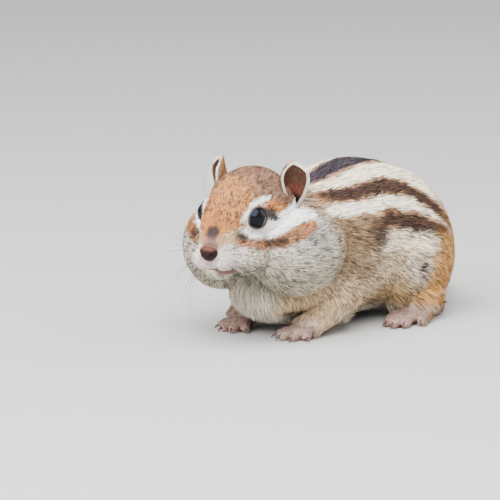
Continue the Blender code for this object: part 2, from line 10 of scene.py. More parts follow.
import bpy
import numpy as np
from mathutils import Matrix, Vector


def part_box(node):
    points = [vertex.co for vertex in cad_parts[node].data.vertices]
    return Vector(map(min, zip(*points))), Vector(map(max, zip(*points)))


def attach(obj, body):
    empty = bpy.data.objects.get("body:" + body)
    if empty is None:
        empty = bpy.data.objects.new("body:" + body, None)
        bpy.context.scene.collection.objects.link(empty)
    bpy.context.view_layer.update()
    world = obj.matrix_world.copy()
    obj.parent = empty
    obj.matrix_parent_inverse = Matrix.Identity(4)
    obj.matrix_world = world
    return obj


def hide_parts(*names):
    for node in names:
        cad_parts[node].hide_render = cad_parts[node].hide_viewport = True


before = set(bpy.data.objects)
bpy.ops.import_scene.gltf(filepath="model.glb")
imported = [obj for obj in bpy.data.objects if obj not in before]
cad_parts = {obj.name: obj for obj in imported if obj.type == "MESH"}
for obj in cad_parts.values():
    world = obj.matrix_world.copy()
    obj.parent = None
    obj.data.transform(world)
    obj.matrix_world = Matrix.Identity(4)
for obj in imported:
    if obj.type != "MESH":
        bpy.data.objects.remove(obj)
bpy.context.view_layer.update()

MM = 0.001
SIDES = (("left", 1), ("right", -1))

# %% [markdown]
# ## A frame for the body and one for the head
# Places are in millimetres as (left, back, up) from the tips of the fore toes. The head has axes of its
# own, that start between the eyes, because it is turned 8 degrees to its left and tipped down a little.
# A face is symmetric in those axes, so one list of places serves both sides.

# %% Frames
HEAD_YAW, HEAD_PITCH = 8.0, -7.0
HEAD_AT = np.array([2.0, -21.5, 43.0])
EYE_RADIUS = 3.8
EYE_AT = np.array([8.4, 1.3, -0.35])


def unit(v):
    """Each vector divided by its own length."""
    return v / np.maximum(np.linalg.norm(v, axis=-1, keepdims=True), 1e-9)


def turned(yaw=0.0, pitch=0.0, roll=0.0):
    """A turn matrix: roll about the long axis, then a pitch that lifts the front, then yaw to the left."""
    a, b, c = np.radians([yaw, -pitch, roll])
    yaw_turn = [[np.cos(a), -np.sin(a), 0], [np.sin(a), np.cos(a), 0], [0, 0, 1]]
    pitch_turn = [[1, 0, 0], [0, np.cos(b), -np.sin(b)], [0, np.sin(b), np.cos(b)]]
    roll_turn = [[np.cos(c), 0, np.sin(c)], [0, 1, 0], [-np.sin(c), 0, np.cos(c)]]
    return np.array(yaw_turn) @ np.array(pitch_turn) @ np.array(roll_turn)


HEAD_TURN = turned(HEAD_YAW, HEAD_PITCH)


def on_head(points):
    """Places in the body's frame, of places given in the head's own axes."""
    return np.asarray(points, float) @ HEAD_TURN.T + HEAD_AT


def from_head(points):
    """The head's own coordinates of places in the body's frame."""
    return (points - HEAD_AT) @ HEAD_TURN


eye_boxes = [np.mean([list(c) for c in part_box(f"eye_{side}")], axis=0) for side, _ in SIDES]
SHIFT = np.mean(eye_boxes, axis=0) / MM - on_head(EYE_AT * [0, 1, 1])
print("the body's frame lies at", SHIFT.round(2), "mm in the row frame")

# %% [markdown]
# ## Floor, light and camera
# A plain pale floor and a soft studio light keep the eye on the coat. One wide lamp hangs over the front,
# like light from a large window, and it is what the black eyes mirror. A weak warm lamp fills the rear.
# The camera looks from 38 degrees to the animal's left and 10 degrees above, through a long lens.

# %% Floor and lights
FLOOR_HALF, FLOOR_GREY = 40.0, (0.46, 0.45, 0.43)
WORLD_COLOUR, WORLD_STRENGTH = (0.86, 0.90, 1.0), 0.62
LAMP_AIM = (0, 0, 0.03)
# name, place in metres, width in metres, power in watts, colour
LAMPS = (
    ("sky", (0.20, -0.55, 0.80), 1.3, 59.0, (0.95, 0.97, 1.0)),
    ("fill", (0.75, 0.85, 0.55), 1.0, 10.0, (1.0, 0.91, 0.80)),
)


def mesh_piece(name, points, faces, smooth=True):
    """An object whose mesh has these points, in metres, and faces."""
    mesh = bpy.data.meshes.new(name)
    mesh.from_pydata(np.asarray(points).tolist(), [], faces)
    mesh.update()
    if smooth:
        mesh.shade_smooth()
    obj = bpy.data.objects.new(name, mesh)
    bpy.context.scene.collection.objects.link(obj)
    return obj


def new_material(name, colour=(0.5, 0.5, 0.5), roughness=0.7):
    """A material with one Principled shader, and that shader's node."""
    material = bpy.data.materials.new(name)
    material.use_nodes = True
    shader = material.node_tree.nodes["Principled BSDF"]
    shader.inputs["Base Color"].default_value = (*colour, 1.0)
    shader.inputs["Roughness"].default_value = roughness
    return material, shader


corners = [(-FLOOR_HALF, -FLOOR_HALF, 0), (FLOOR_HALF, -FLOOR_HALF, 0)]
corners += [(FLOOR_HALF, FLOOR_HALF, 0), (-FLOOR_HALF, FLOOR_HALF, 0)]
floor = mesh_piece("studio_floor", corners, [(0, 1, 2, 3)], smooth=False)
floor.data.materials.append(new_material("studio_pale", FLOOR_GREY, 0.9)[0])

world = bpy.data.worlds.new("studio")
world.use_nodes = True
background = world.node_tree.nodes["Background"]
background.inputs["Color"].default_value = (*WORLD_COLOUR, 1.0)
background.inputs["Strength"].default_value = WORLD_STRENGTH
bpy.context.scene.world = world


def area_light(name, at, size, power, colour):
    """A square soft lamp at a place in metres, turned to the aim."""
    data = bpy.data.lights.new(name, "AREA")
    data.size, data.energy, data.color = size, power, colour
    lamp = bpy.data.objects.new(name, data)
    bpy.context.scene.collection.objects.link(lamp)
    lamp.location = at
    lamp.rotation_euler = look_angles(np.subtract(at, LAMP_AIM))


def look_angles(back):
    """Euler angles that turn an object's own Z axis to this direction, with its X axis level."""
    x, y, z = back / np.linalg.norm(back)
    return (math.acos(z), 0.0, math.atan2(x, -y))


for lamp_setting in LAMPS:
    area_light(*lamp_setting)
print(len(LAMPS), "lamps, and a floor", 2 * FLOOR_HALF, "m wide")

# %% Camera
AZIMUTH, ELEVATION, DISTANCE = math.radians(38), math.radians(10), 1.5
PICTURE_PIXELS, PIXELS_PER_MM = 500, 3.15
AIM_FROM, AIM_RIGHT, AIM_UP = [0.0, 0.5, 0.0], 6.19, -11.27

view_back = np.array([
    math.sin(AZIMUTH) * math.cos(ELEVATION),
    -math.cos(AZIMUTH) * math.cos(ELEVATION),
    math.sin(ELEVATION),
])
view_right = np.array([math.cos(AZIMUTH), math.sin(AZIMUTH), 0.0])
view_up = np.cross(view_back, view_right)
aim = (on_head(AIM_FROM) + SHIFT) + AIM_RIGHT * view_right + AIM_UP * view_up
camera_data = bpy.data.cameras.new("photo_camera")
camera_data.sensor_width = 36.0
field = PICTURE_PIXELS / PIXELS_PER_MM * MM
camera_data.lens = camera_data.sensor_width * DISTANCE / field
camera_data.clip_start = 0.05
camera = bpy.data.objects.new("photo_camera", camera_data)
bpy.context.scene.collection.objects.link(camera)
camera.location = aim * MM + DISTANCE * view_back
camera.rotation_euler = look_angles(view_back)
bpy.context.scene.camera = camera
print("camera at", np.round(camera.location, 3), "lens", round(camera_data.lens, 1))

# %% [markdown]
# ## The skin's forms
# The solids reach out to the tips of the coat. The skin lies inside them by the coat's depth, so each form
# is made again from the same sizes and is drawn in: under a millimetre on the face and feet, 2 mm on the
# back. A form is either a loft, a run of ovals along a smooth path, or an egg. A voxel remesh then fuses
# them into one surface, as clay would be smoothed over an armature, and no seam is left.

# %% Lofts and eggs


def smooth_run(rows, count):
    """Rows joined by a cubic run with even slopes, and read again at even steps along it."""
    rows = np.asarray(rows, float)
    gaps = np.linalg.norm(np.diff(rows[:, :3], axis=0), axis=1)
    at = np.concatenate([[0.0], np.cumsum(gaps)])
    slope = np.gradient(rows, at, axis=0)
    s = np.linspace(0.0, at[-1], count)
    i = np.clip(np.searchsorted(at, s, side="right") - 1, 0, len(at) - 2)
    h = (at[i + 1] - at[i])[:, None]
    t = (s - at[i])[:, None] / h
    start, end = rows[i], rows[i + 1]
    leave, arrive = slope[i] * h, slope[i + 1] * h
    return ((2 * t**3 - 3 * t**2 + 1) * start + (t**3 - 2 * t**2 + t) * leave
            + (-2 * t**3 + 3 * t**2) * end + (t**3 - t**2) * arrive)


def round_end(distance, reach):
    """The height of a quarter circle at a distance from its end: 0 there, and 1 from the reach on."""
    share = np.clip(distance / reach, 0.0, 1.0)
    return np.sqrt(np.clip(1.0 - (1.0 - share) ** 2, 0.0, 1.0))


def closed_grid(grid, first, last):
    """Points and faces of a tube given as rings of points, closed by a point at each end."""
    rings, around = grid.shape[:2]
    points = np.concatenate([first[None], grid.reshape(-1, 3), last[None]])
    k = np.arange(around)
    after = (k + 1) % around
    base = 1 + np.arange(rings - 1)[:, None] * around
    quads = np.stack([base + k, base + around + k, base + around + after, base + after], -1).reshape(-1, 4)
    tail = 1 + (rings - 1) * around
    caps = [(0, int(1 + a), int(1 + b)) for a, b in zip(k, after)]
    caps += [(len(points) - 1, int(tail + b), int(tail + a)) for a, b in zip(k, after)]
    return points, quads.tolist() + caps


def loft(stations, depth=0.0, start=4.0, end=4.0, rings=60, around=48, squareness=2.0, side=(1, 0, 0)):
    """Ovals along a smooth path. Each station is x, y, z, half width, height above and depth below.

    An oval's point at angle a is width * cos(a)^(2/q) across and height * sin(a)^(2/q) up, with q the
    squareness, and both ends are rounded. Depth draws the whole form in by the thickness of the coat.
    """
    rows = np.array(stations, float)
    depth = np.broadcast_to(np.asarray(depth, float), len(rows))
    rows[:, 3:] -= depth[:, None]
    ends = rows[[0, -1], :3] - rows[[1, -2], :3]
    rows[[0, -1], :3] -= depth[[0, -1], None] * unit(ends)
    run = smooth_run(rows, rings)
    place, width, up, down = run[:, :3], run[:, 3], run[:, 4], run[:, 5]
    steps = np.linalg.norm(np.diff(place, axis=0), axis=1)
    length = np.concatenate([[0.0], np.cumsum(steps)])
    cap = round_end(length, start) * round_end(length[-1] - length, end)
    along = unit(np.gradient(place, axis=0))
    side = np.asarray(side, float)
    across = unit(side - (along @ side)[:, None] * along)
    above = np.cross(across, along)
    if above[:, 2].sum() < 0:
        above = -above
    turn = np.linspace(0.0, 2 * np.pi, around, endpoint=False)
    cosine = np.sign(np.cos(turn)) * np.abs(np.cos(turn)) ** (2 / squareness)
    sine = np.sign(np.sin(turn)) * np.abs(np.sin(turn)) ** (2 / squareness)
    height = np.where(sine > 0, up[:, None], down[:, None]) * sine
    reach = (width[:, None] * cosine)[..., None] * across[:, None] + height[..., None] * above[:, None]
    grid = (place[:, None] + cap[:, None, None] * reach)[1:-1]
    return closed_grid(grid, place[0], place[-1])


def egg(centre, radii, turn=None, around=48, rows=32):
    """An ellipsoid: the point at longitude a and latitude b of a sphere, stretched by its three radii."""
    a = np.linspace(0.0, 2 * np.pi, around, endpoint=False)[None, :]
    b = np.linspace(-np.pi / 2, np.pi / 2, rows)[1:-1, None]
    sphere = np.stack([np.cos(b) * np.cos(a), np.cos(b) * np.sin(a), np.sin(b) + 0 * a], -1)
    turn = np.eye(3) if turn is None else turn
    place = np.asarray(centre, float)
    stretch = np.asarray(radii, float)
    top = (np.array([0, 0, 1.0]) * stretch) @ turn.T
    return closed_grid((sphere * stretch) @ turn.T + place, place - top, place + top)


def head_turn(yaw=0.0, pitch=0.0):
    """A turn matrix of something that is turned in the head's own axes."""
    return HEAD_TURN @ turned(yaw, pitch)


# %% Sizes of the forms, as in the solids
BODY_DEPTH, CHEEK_DEPTH, THIGH_DEPTH = 2.1, 1.5, 1.9
CHEEK = (np.array([14.0, 17.5, -15.5]), np.array([12.6, 18.6, 14.0]))
LIP_FOLD = (np.array([7.4, -2.6, -11.6]), np.array([4.6, 7.6, 5.6]))
THIGH = (np.array([17.0, 56.0, 21.0]), np.array([11.5, 20.5, 20.0]))
TRUNK = [
    [1, -10, 36, 14, 13, 16],
    [1, -2, 34, 18, 15, 23],
    [0, 10, 31, 22, 17.5, 26.5],
    [0, 22, 29, 24, 20.5, 26],
    [0, 34, 28, 25.3, 24, 25.5],
    [0, 46, 27.5, 26.5, 25.6, 25],
    [0, 57, 26, 26.5, 24.0, 23],
    [0, 67, 22, 24, 20.5, 19],
    [0, 75, 18, 17, 14.0, 14],
    [0, 80.5, 16, 8, 6, 7],
]
SKULL = [
    [0, -14.6, -9.4, 2.6, 2.2, 2.4],
    [0, -12.0, -9.0, 4.6, 4.2, 4.6],
    [0, -8.5, -8.0, 6.6, 6.6, 7.0],
    [0, -4.0, -6.0, 8.4, 9.4, 8.6],
    [0, 1.0, -4.0, 10.2, 12.2, 10.5],
    [0, 7.0, -3.0, 12.8, 14.2, 12.5],
    [0, 13.0, -3.0, 14.0, 15.0, 13.5],
    [0, 19.0, -3.5, 14.0, 14.5, 13.5],
    [0, 25.0, -5.0, 12.5, 12.5, 12.0],
]
SKULL_DEPTH = [0.25, 0.35, 0.45, 0.55, 0.65, 0.8, 1.0, 1.2, 1.4]
TAIL = [
    [0, 72, 17, 4.2, 4.2, 4.2],
    [-1, 83, 13, 3.4, 3.2, 3.2],
    [-8, 94, 9.2, 3.0, 2.8, 2.8],
    [-20, 101, 7.4, 2.8, 2.5, 2.5],
    [-36, 103, 7.0, 2.6, 2.3, 2.3],
    [-52, 99, 7.0, 2.3, 2.1, 2.1],
    [-65, 90, 6.4, 1.9, 1.8, 1.8],
    [-70, 81, 5.6, 1.2, 1.2, 1.2],
]

# %% Places of the feet and toes
FORE_TOES = ((-6.2, 3.6), (-2.6, 6.4), (1.5, 6.0), (5.0, 2.6))
HIND_TOES = ((-5.6, 24.5), (-3.0, 30.4), (0.2, 31.6), (3.4, 29.8), (6.2, 23.6))
PAW_AT, HEEL_AT, FOOT_TURN_OUT = (12.6, 1.0), (21.4, 64.0), math.radians(9)
FLOOR_LEVEL = 0.7


def on_paw(sign, across, forward, up):
    """A place on a fore paw, from steps outwards, forwards and up from its wrist."""
    return [sign * (PAW_AT[0] + across), PAW_AT[1] - forward, up]


def on_foot(sign, across, forward, up):
    """The same on a hind foot, whose axis is turned outwards, from its heel."""
    x = HEEL_AT[0] + across * math.cos(FOOT_TURN_OUT) + forward * math.sin(FOOT_TURN_OUT)
    y = HEEL_AT[1] + across * math.sin(FOOT_TURN_OUT) - forward * math.cos(FOOT_TURN_OUT)
    return [sign * x, y, up]


def toe_stations(sign):
    """Stations of every toe on one side: a root, a raised knuckle and a tip on the floor."""
    for i, (across, forward) in enumerate(FORE_TOES):
        root = (i - 1.5) * 2.0
        yield [
            [*on_paw(sign, root, -1.5, 3.0), 1.7, 1.5, 1.5],
            [*on_paw(sign, 0.45 * root + 0.55 * across, 0.55 * forward, 2.9), 1.3, 1.3, 2.3],
            [*on_paw(sign, across, forward, 1.4), 1.35, 1.55, 2.3],
        ]
    for i, (across, forward) in enumerate(HIND_TOES):
        root_across, root = (i - 2) * 1.9, forward - 11.0
        middle = on_foot(sign, 0.5 * (root_across + across), 0.5 * (root + forward), 3.3)
        yield [
            [*on_foot(sign, root_across, root, 3.0), 1.8, 1.8, 1.8],
            [*middle, 1.4, 1.4, 1.5],
            [*on_foot(sign, across, forward, 1.8), 1.45, 1.5, 2.2],
        ]


def mirrored(stations, sign):
    """Stations given for the left side, with x turned round for the right one."""
    rows = np.array(stations, float)
    rows[:, 0] *= sign
    return rows


# %% Legs, and all the forms together
FORELEG = [
    [15.0, 15.0, 24.0, 8.0, 8.5, 8.5],
    [16.6, 16.5, 14.5, 6.8, 7.2, 7.8],
    [16.0, 11.5, 9.2, 5.2, 5.4, 5.8],
    [14.0, 5.0, 5.4, 4.3, 3.6, 4.2],
    [PAW_AT[0], 1.0, 3.0, 4.6, 2.5, 3.6],
    [PAW_AT[0], -2.2, 2.4, 4.2, 1.8, 3.4],
]
SHANK = [
    [22.0, 45, 10.0, 6.5, 7.5, 6.5],
    [22.5, 55, 7.5, 6.0, 6.0, 5.5],
    [22.0, 63, 5.0, 5.0, 4.5, 4.5],
]
FORELEG_DEPTH, SHANK_DEPTH, FOOT_DEPTH, TOE_DEPTH = [1.6, 1.3, 1.0, 0.6, 0.2, 0.1], [1.6, 1.2, 0.6], 0.3, 0.08
JAW = ([0, -8.0, -14.4], [4.6, 5.2, 3.2])
MUZZLE_PAD = (np.array([3.4, -10.6, -11.4]), [3.7, 4.2, 3.3])

forms = [
    loft(TRUNK, BODY_DEPTH, 8, 5, 110, 96, 2.1),
    loft(TAIL, 0.0, 4, 4, 160, 24, 2.0, (-0.3, 1.0, 0.0)),
    egg(on_head(JAW[0]), JAW[1], head_turn(0, -8)),
]
skull_points, skull_faces = loft(SKULL, SKULL_DEPTH, 2.5, 8, 90, 72, 2.1)
forms.append((on_head(skull_points), skull_faces))
for side, sign in SIDES:
    flip = np.array([sign, 1, 1])
    forms += [
        egg(on_head(CHEEK[0] * flip), CHEEK[1] - CHEEK_DEPTH, head_turn(-14 * sign, 4), 72, 48),
        egg(on_head(MUZZLE_PAD[0] * flip), MUZZLE_PAD[1], head_turn()),
        egg(on_head(LIP_FOLD[0] * flip), LIP_FOLD[1], head_turn(-24 * sign, 0)),
        egg(THIGH[0] * flip, THIGH[1] - THIGH_DEPTH, turned(6 * sign, 22), 72, 48),
        loft(mirrored(FORELEG, sign), FORELEG_DEPTH, 8, 3),
        loft(mirrored(SHANK, sign), SHANK_DEPTH, 6, 5),
        loft([
            [*on_foot(sign, 0, -2.0, 3.6), 3.6, 3.6, 3.6],
            [*on_foot(sign, 0, 8.0, 3.2), 3.9, 3.2, 3.2],
            [*on_foot(sign, 0, 18.0, 3.0), 4.9, 2.6, 3.0],
            [*on_foot(sign, 0, 23.0, 2.6), 4.8, 2.0, 2.6],
        ], FOOT_DEPTH, 3.5, 3),
    ]
    forms += [loft(stations, TOE_DEPTH, 1.3, 1.3, 24, 20) for stations in toe_stations(sign)]
print(len(forms), "forms for the skin")

# %% [markdown]
# ## One skin
# The forms are joined, remeshed at about half a millimetre and relaxed, which rounds the creases where a
# limb meets the body. Relaxing means moving every point towards the middle of its neighbours. It is
# strong on the body and weak on the face and toes, which would lose their shape.

# %% Fuse the forms
SKIN_VOXEL = 0.56
RELAX_ROUNDS, PULL, FACE_SPARED, FOOT_SPARED = 9, 0.55, 0.30, 0.47


def ease(x, low, high):
    """0 below low, 1 above high and a smooth rise between. Low may be the larger, for a fall."""
    t = np.clip((x - low) / (high - low), 0.0, 1.0)
    return t * t * (3 - 2 * t)


def joined(parts):
    """Many meshes as one: each one's faces count on from the points before it."""
    points, faces, base = [], [], 0
    for part_points, part_faces in parts:
        points.append(part_points)
        faces += [tuple(i + base for i in face) for face in part_faces]
        base += len(part_points)
    return np.concatenate(points), faces


def read_mesh(mesh):
    """Points, edges and triangles of a mesh as arrays, with the points in the body's millimetres."""
    mesh.calc_loop_triangles()
    co = np.empty(3 * len(mesh.vertices), np.float32)
    mesh.vertices.foreach_get("co", co)
    ends = np.empty(2 * len(mesh.edges), np.int32)
    mesh.edges.foreach_get("vertices", ends)
    tris = np.empty(3 * len(mesh.loop_triangles), np.int32)
    mesh.loop_triangles.foreach_get("vertices", tris)
    return co.reshape(-1, 3).astype(float) / MM - SHIFT, ends.reshape(-1, 2), tris.reshape(-1, 3)


all_points, all_faces = joined(forms)
skin = mesh_piece("skin", (all_points + SHIFT) * MM, all_faces)
remesh = skin.modifiers.new("fuse", "REMESH")
remesh.mode = "VOXEL"
remesh.voxel_size = SKIN_VOXEL * MM
graph = bpy.context.evaluated_depsgraph_get()
fused = bpy.data.meshes.new_from_object(skin.evaluated_get(graph))
skin.modifiers.clear()
skin.data = fused
skin_points, skin_edges, skin_tris = read_mesh(fused)
print("skin:", len(skin_points), "points,", len(skin_tris), "triangles")


def neighbour_mean(values):
    """The mean of a value over each point's neighbours."""
    a, b = skin_edges.T
    count = np.bincount(a, minlength=len(values)) + np.bincount(b, minlength=len(values))
    total = [np.bincount(a, values[b, i], len(values)) + np.bincount(b, values[a, i], len(values))
             for i in range(values.shape[1])]
    return np.stack(total, -1) / np.maximum(count, 1)[:, None]


def foot_share(points):
    """1 on the feet and toes, and 0 from the wrists and heels upwards."""
    x, y, z = np.abs(points[:, 0]), points[:, 1], points[:, 2]
    fore = ease(y, 7.5, 3.5) * ease(z, 8.5, 5.5) * ease(x, 3.0, 4.5) * ease(x, 25.0, 22.0)
    turn_x, turn_y = math.cos(FOOT_TURN_OUT), math.sin(FOOT_TURN_OUT)
    along = (HEEL_AT[1] - y) * turn_x + (x - HEEL_AT[0]) * turn_y
    across = (x - HEEL_AT[0]) * turn_x + (y - HEEL_AT[1]) * turn_y
    half = np.interp(along, [-5, 10, 20, 32], [4.2, 4.4, 6.2, 8.5])
    hind = ease(np.abs(across), half + 1.2, half) * ease(z, 7.6, 6.2)
    return np.maximum(fore, hind * ease(along, -8, -5) * ease(along, 36, 34))


head_places = from_head(skin_points)
pull = PULL - FACE_SPARED * ease(head_places[:, 1], 8, 2) * ease(skin_points[:, 2], 18, 24)
pull = np.minimum(pull, PULL - FOOT_SPARED * foot_share(skin_points))[:, None]
for _ in range(RELAX_ROUNDS):
    skin_points += pull * (neighbour_mean(skin_points) - skin_points)
print("relaxed", RELAX_ROUNDS, "times, by shares of", pull.min().round(2), "to", pull.max().round(2))

# %% [markdown]
# ## Eye sockets and soles
# A rodent's eye is a ball that stands well out of the head, held by a thin dark rim. The skin inside the
# opening is pushed behind the ball, and the skin round it is lifted onto the ball as lids. The soles are
# pressed flat at the level of the floor.

# %% Shape the sockets
LID_OPENING, LID_ALMOND, FRONT_CORNER, BACK_CORNER, CORNER_WIDTH = 60.0, 2.0, 7, 4, 0.28
LID_RADIUS, SOCKET_RADIUS = 4.12, 2.9
SOCKET_REACH, SOCKET_DEGREES = 9.0, 40


def eye_axis(sign):
    """The direction in which an eye looks, in the head's axes: outwards, forwards and a little up."""
    return unit(np.array([sign * 0.88, -0.42, 0.10]))


def eye_frame(sign):
    """The eye's axis, the direction of its front corner square to that, and the third direction."""
    axis = eye_axis(sign)
    front = np.array([0.0, -1.0, -0.45])
    front = unit(front - (front @ axis) * axis)
    return axis, front, np.cross(axis, front)


def lid_opening(t):
    """Half the eye's opening in degrees at an angle t round its axis from the front corner.

    It is a circle with a little of a double wave, which makes it an almond, and a bell at each corner.
    """
    wrap = (t + np.pi) % (2 * np.pi) - np.pi
    back = np.pi - np.abs(wrap)
    almond = LID_ALMOND * np.cos(2 * wrap)
    front_bell = FRONT_CORNER * np.exp(-((wrap / CORNER_WIDTH) ** 2))
    return LID_OPENING + almond + front_bell + BACK_CORNER * np.exp(-((back / CORNER_WIDTH) ** 2))


def eye_gap(places, sign):
    """Distance from the eyeball's centre, and degrees by which a place lies outside the eye's opening."""
    axis, front, other = eye_frame(sign)
    away = places - EYE_AT * [sign, 1, 1]
    r = np.linalg.norm(away, axis=1)
    angle = np.degrees(np.arccos(np.clip(away @ axis / np.maximum(r, 1e-6), -1, 1)))
    return r, angle - lid_opening(np.arctan2(away @ other, away @ front))


def press_sockets(points):
    """Skin inside the opening goes to the socket's radius, and skin round it at least to the lids' radius."""
    places = from_head(points)
    for _, sign in SIDES:
        away = places - EYE_AT * [sign, 1, 1]
        r, gap = eye_gap(places, sign)
        near = (r < SOCKET_REACH) & (gap < SOCKET_DEGREES)
        rim = np.maximum(r, LID_RADIUS)
        inside = SOCKET_RADIUS + (rim - SOCKET_RADIUS) * ease(gap, -5, 4)
        places[near] = (EYE_AT * [sign, 1, 1]) + away[near] * (inside / np.maximum(r, 1e-6))[near, None]
    return on_head(places)


skin_points = press_sockets(skin_points)
skin_points[:, 2] = np.maximum(skin_points[:, 2], FLOOR_LEVEL + 0.02)
skin.data.vertices.foreach_set("co", ((skin_points + SHIFT) * MM).astype(np.float32).ravel())
skin.data.update()
skin.data.shade_smooth()
skin_normals = np.empty(3 * len(skin_points), np.float32)
skin.data.vertex_normals.foreach_get("vector", skin_normals)
skin_normals = skin_normals.reshape(-1, 3).astype(float)
soft_normals = skin_normals.copy()
for _ in range(4):
    soft_normals = unit(0.3 * soft_normals + neighbour_mean(soft_normals))
print("lowest point of the skin", round(float(skin_points[:, 2].min()), 2), "mm over the body's floor")

# %% [markdown]
# ## The markings
# One function gives the colour of any place on the body, and both the skin and the coat read it. The
# markings are drawn as strokes: a stroke is a path with a half width, and a place takes its colour when
# it lies within that width of it. On the face the strokes are paths in the head's own axes. On the trunk
# they run in two coordinates of the body's barrel: how far back, and how far round from the spine.

# %% Colours and noise


def srgb(*levels):
    """A colour given as 0 to 255 levels on a screen, as the linear numbers that a shader takes."""
    c = np.array(levels, float) / 255
    return np.where(c <= 0.04045, c / 12.92, ((c + 0.055) / 1.055) ** 2.4)


CROWN, FOREHEAD = srgb(152, 112, 88), srgb(206, 132, 70)
WHITE, CREAM, GREY_CREAM = srgb(254, 250, 242), srgb(246, 230, 200), srgb(226, 215, 193)
DARK, DARK_BROWN, MEDIAN = srgb(52, 45, 50), srgb(62, 42, 34), srgb(58, 52, 62)
ORANGE, RUST = srgb(178, 108, 54), srgb(204, 142, 64)
OCHRE, BUFF = srgb(168, 134, 84), srgb(210, 178, 136)
SHOULDER, BLUE_GREY, BELLY = srgb(144, 116, 84), srgb(160, 160, 164), srgb(210, 200, 180)
# the throat's colour is its own cream-grey, made darker as painted shade under the chin
THROAT_WITH_PAINTED_SHADE, SNOUT, MUZZLE = srgb(200, 190, 166), srgb(158, 118, 104), srgb(198, 160, 122)
FOOT_SKIN, FOOT_HAIR, PALE_BAND = srgb(146, 92, 84), srgb(206, 178, 160), srgb(246, 234, 212)
INNER_BAND, LIP_PALE = srgb(248, 230, 202), srgb(222, 207, 201)
MUZZLE_SPOT, CANTHUS_PALE = srgb(80, 58, 46), srgb(230, 210, 184)
BACK_BROWN, SIDE_BUFF, NAPE = srgb(196, 158, 118), srgb(222, 196, 160), srgb(188, 160, 128)
STRIPE_EDGE, LEG_PALE = srgb(186, 128, 80), srgb(232, 222, 204)
MARK_RING, MARK_LINE = srgb(226, 218, 206), srgb(60, 54, 54)
FULL_LIGHT, MID_TONE, WHITE_GAIN = 0.85, 0.76, 1.06
print("brightest hair", WHITE.round(2), "darkest hair", DARK_BROWN.round(2))


def waves(points, size, seed, count=7):
    """Smooth noise of about -1 to 1: the sum of plane waves in seeded directions, size in mm."""
    rng = np.random.default_rng(seed)
    ways = unit(rng.normal(size=(count, 3))) * rng.uniform(0.7, 1.6, (count, 1)) * 2 * np.pi / size
    phases = rng.uniform(0, 2 * np.pi, count)
    return np.sin(points @ ways.T + phases).sum(axis=1) / math.sqrt(count)


def mix(colour, other, share):
    """A step from one colour towards another: the first plus the share of the difference."""
    return colour + (other - colour) * np.clip(share, 0, 1)[:, None]


def stroke(points, path, soft=0.35, flat=(1.0, 1.0, 1.0)):
    """The share, 0 to 1, in which each place lies on a path of rows x, y, z, half width.

    Flat shrinks distances along an axis, so that a stroke also reaches a surface a little off its path.
    """
    path = np.array(path, float)
    path[:, :3] *= flat
    points = points * flat
    best = np.full(len(points), -1e9)
    for a, b in zip(path[:-1], path[1:]):
        way = b[:3] - a[:3]
        t = np.clip((points - a[:3]) @ way / (way @ way), 0, 1)
        gap = np.linalg.norm(points - a[:3] - t[:, None] * way, axis=1)
        half = a[3] + t * (b[3] - a[3])
        best = np.maximum(best, (half - gap) / (soft * half))
    return ease(best, -0.5, 0.5)


# %% Strokes on the head
UPPER_WHITE = [[7.3, -5.2, -.6, .7], [8.1, -2.9, 1.6, .9], [8.6, .7, 4.2, .95],
               [9.9, 4, 4.7, .95], [11.0, 7, 4.8, .6]]
LOWER_WHITE = [[8.3, -4.9, -3.6, .9], [9.4, -.9, -5.3, 1.3], [11.3, 3.1, -5.3, 1.7],
               [13, 6.0, -4.0, 2.0], [15.2, 10.6, -2.4, 2.2], [16.4, 16.2, -1.9, 2.6],
               [15.6, 22.5, 1.0, 3.0]]
CANTHUS_WHITE = [[4.6, -9.6, -3.6, .8], [7.4, -5.6, -2.4, .8]]
EYE_STRIP = [[11.6, 5.9, 3.2, 1.6], [12.9, 8.6, 1.2, 1.9], [13.7, 10.2, -.2, 1.6]]
EYE_PATCH = [[11.3, 4.2, 1.5, 1.0], [12.2, 5.8, -.1, 1.6], [12.6, 6.6, -1.6, 1.3]]
CHEEK_STRIPE = [[7.0, -8.2, -6.8, .9], [7.9, -5.6, -7.6, 1.6], [9.0, -2.4, -8.4, 2.1],
                [11.3, 1.2, -8.7, 2.0], [14.4, 2.2, -8.3, 1.9], [17.5, 5.0, -7.1, 2.3],
                [19.6, 9, -5.4, 2.9], [20.4, 13.0, -4.2, 2.8]]
CHEEK_DARK = [[9.1, -1.5, -8.9, .8], [11.2, .6, -8.9, 1.2], [14.0, 2.2, -8.5, 1.4],
              [16.6, 4.0, -7.6, .8]]
MUZZLE_DARK = [[6.9, -7.4, -4.6, 1.3], [7.7, -5.6, -5.4, 1.1]]
MUZZLE_TAN = [[2.9, -12.0, -5.4, 1.3], [4.8, -9.8, -4.6, 1.9], [6.8, -7.4, -5.8, 1.9]]
LIP_WHITE = [[5, -12.7, -9.4, 2.3], [6.6, -8.8, -9.2, 2.4], [9, -5, -11, 2.0]]
LIP_LOW = [[1.5, -14.8, -11.4, 1.8], [4.8, -13.4, -11.6, 2.4], [6.2, -8.5, -12.5, 2.8]]
SNOUT_TOP = [[0, -13.6, -6.3, 2.9], [0, -12.3, -4.6, 2.2]]
BRIDGE_SPOT = [[-0.8, -11.2, -3.3, 1.5], [0.8, -11.2, -3.3, 1.5]]
SIDE_FLAT, TOP_FLAT = (0.4, 1.0, 1.0), (1.0, 1.0, 0.5)
CROWN_LINE = ([-14, -9, -4, 0, 5, 10, 16, 25], [-7, -3.6, -1.0, 2.5, 3.6, 0.5, 0.0, -1.0])
POUCH_GREY_AT = (21, 13, -8.5)

# %% Colour of the head


def shaken(p, size, seeds, reach):
    """Shifts of places by noise, which make the edge of a marking as ragged as hair does."""
    return np.stack([waves(p, size, seed) for seed in seeds], -1) * reach


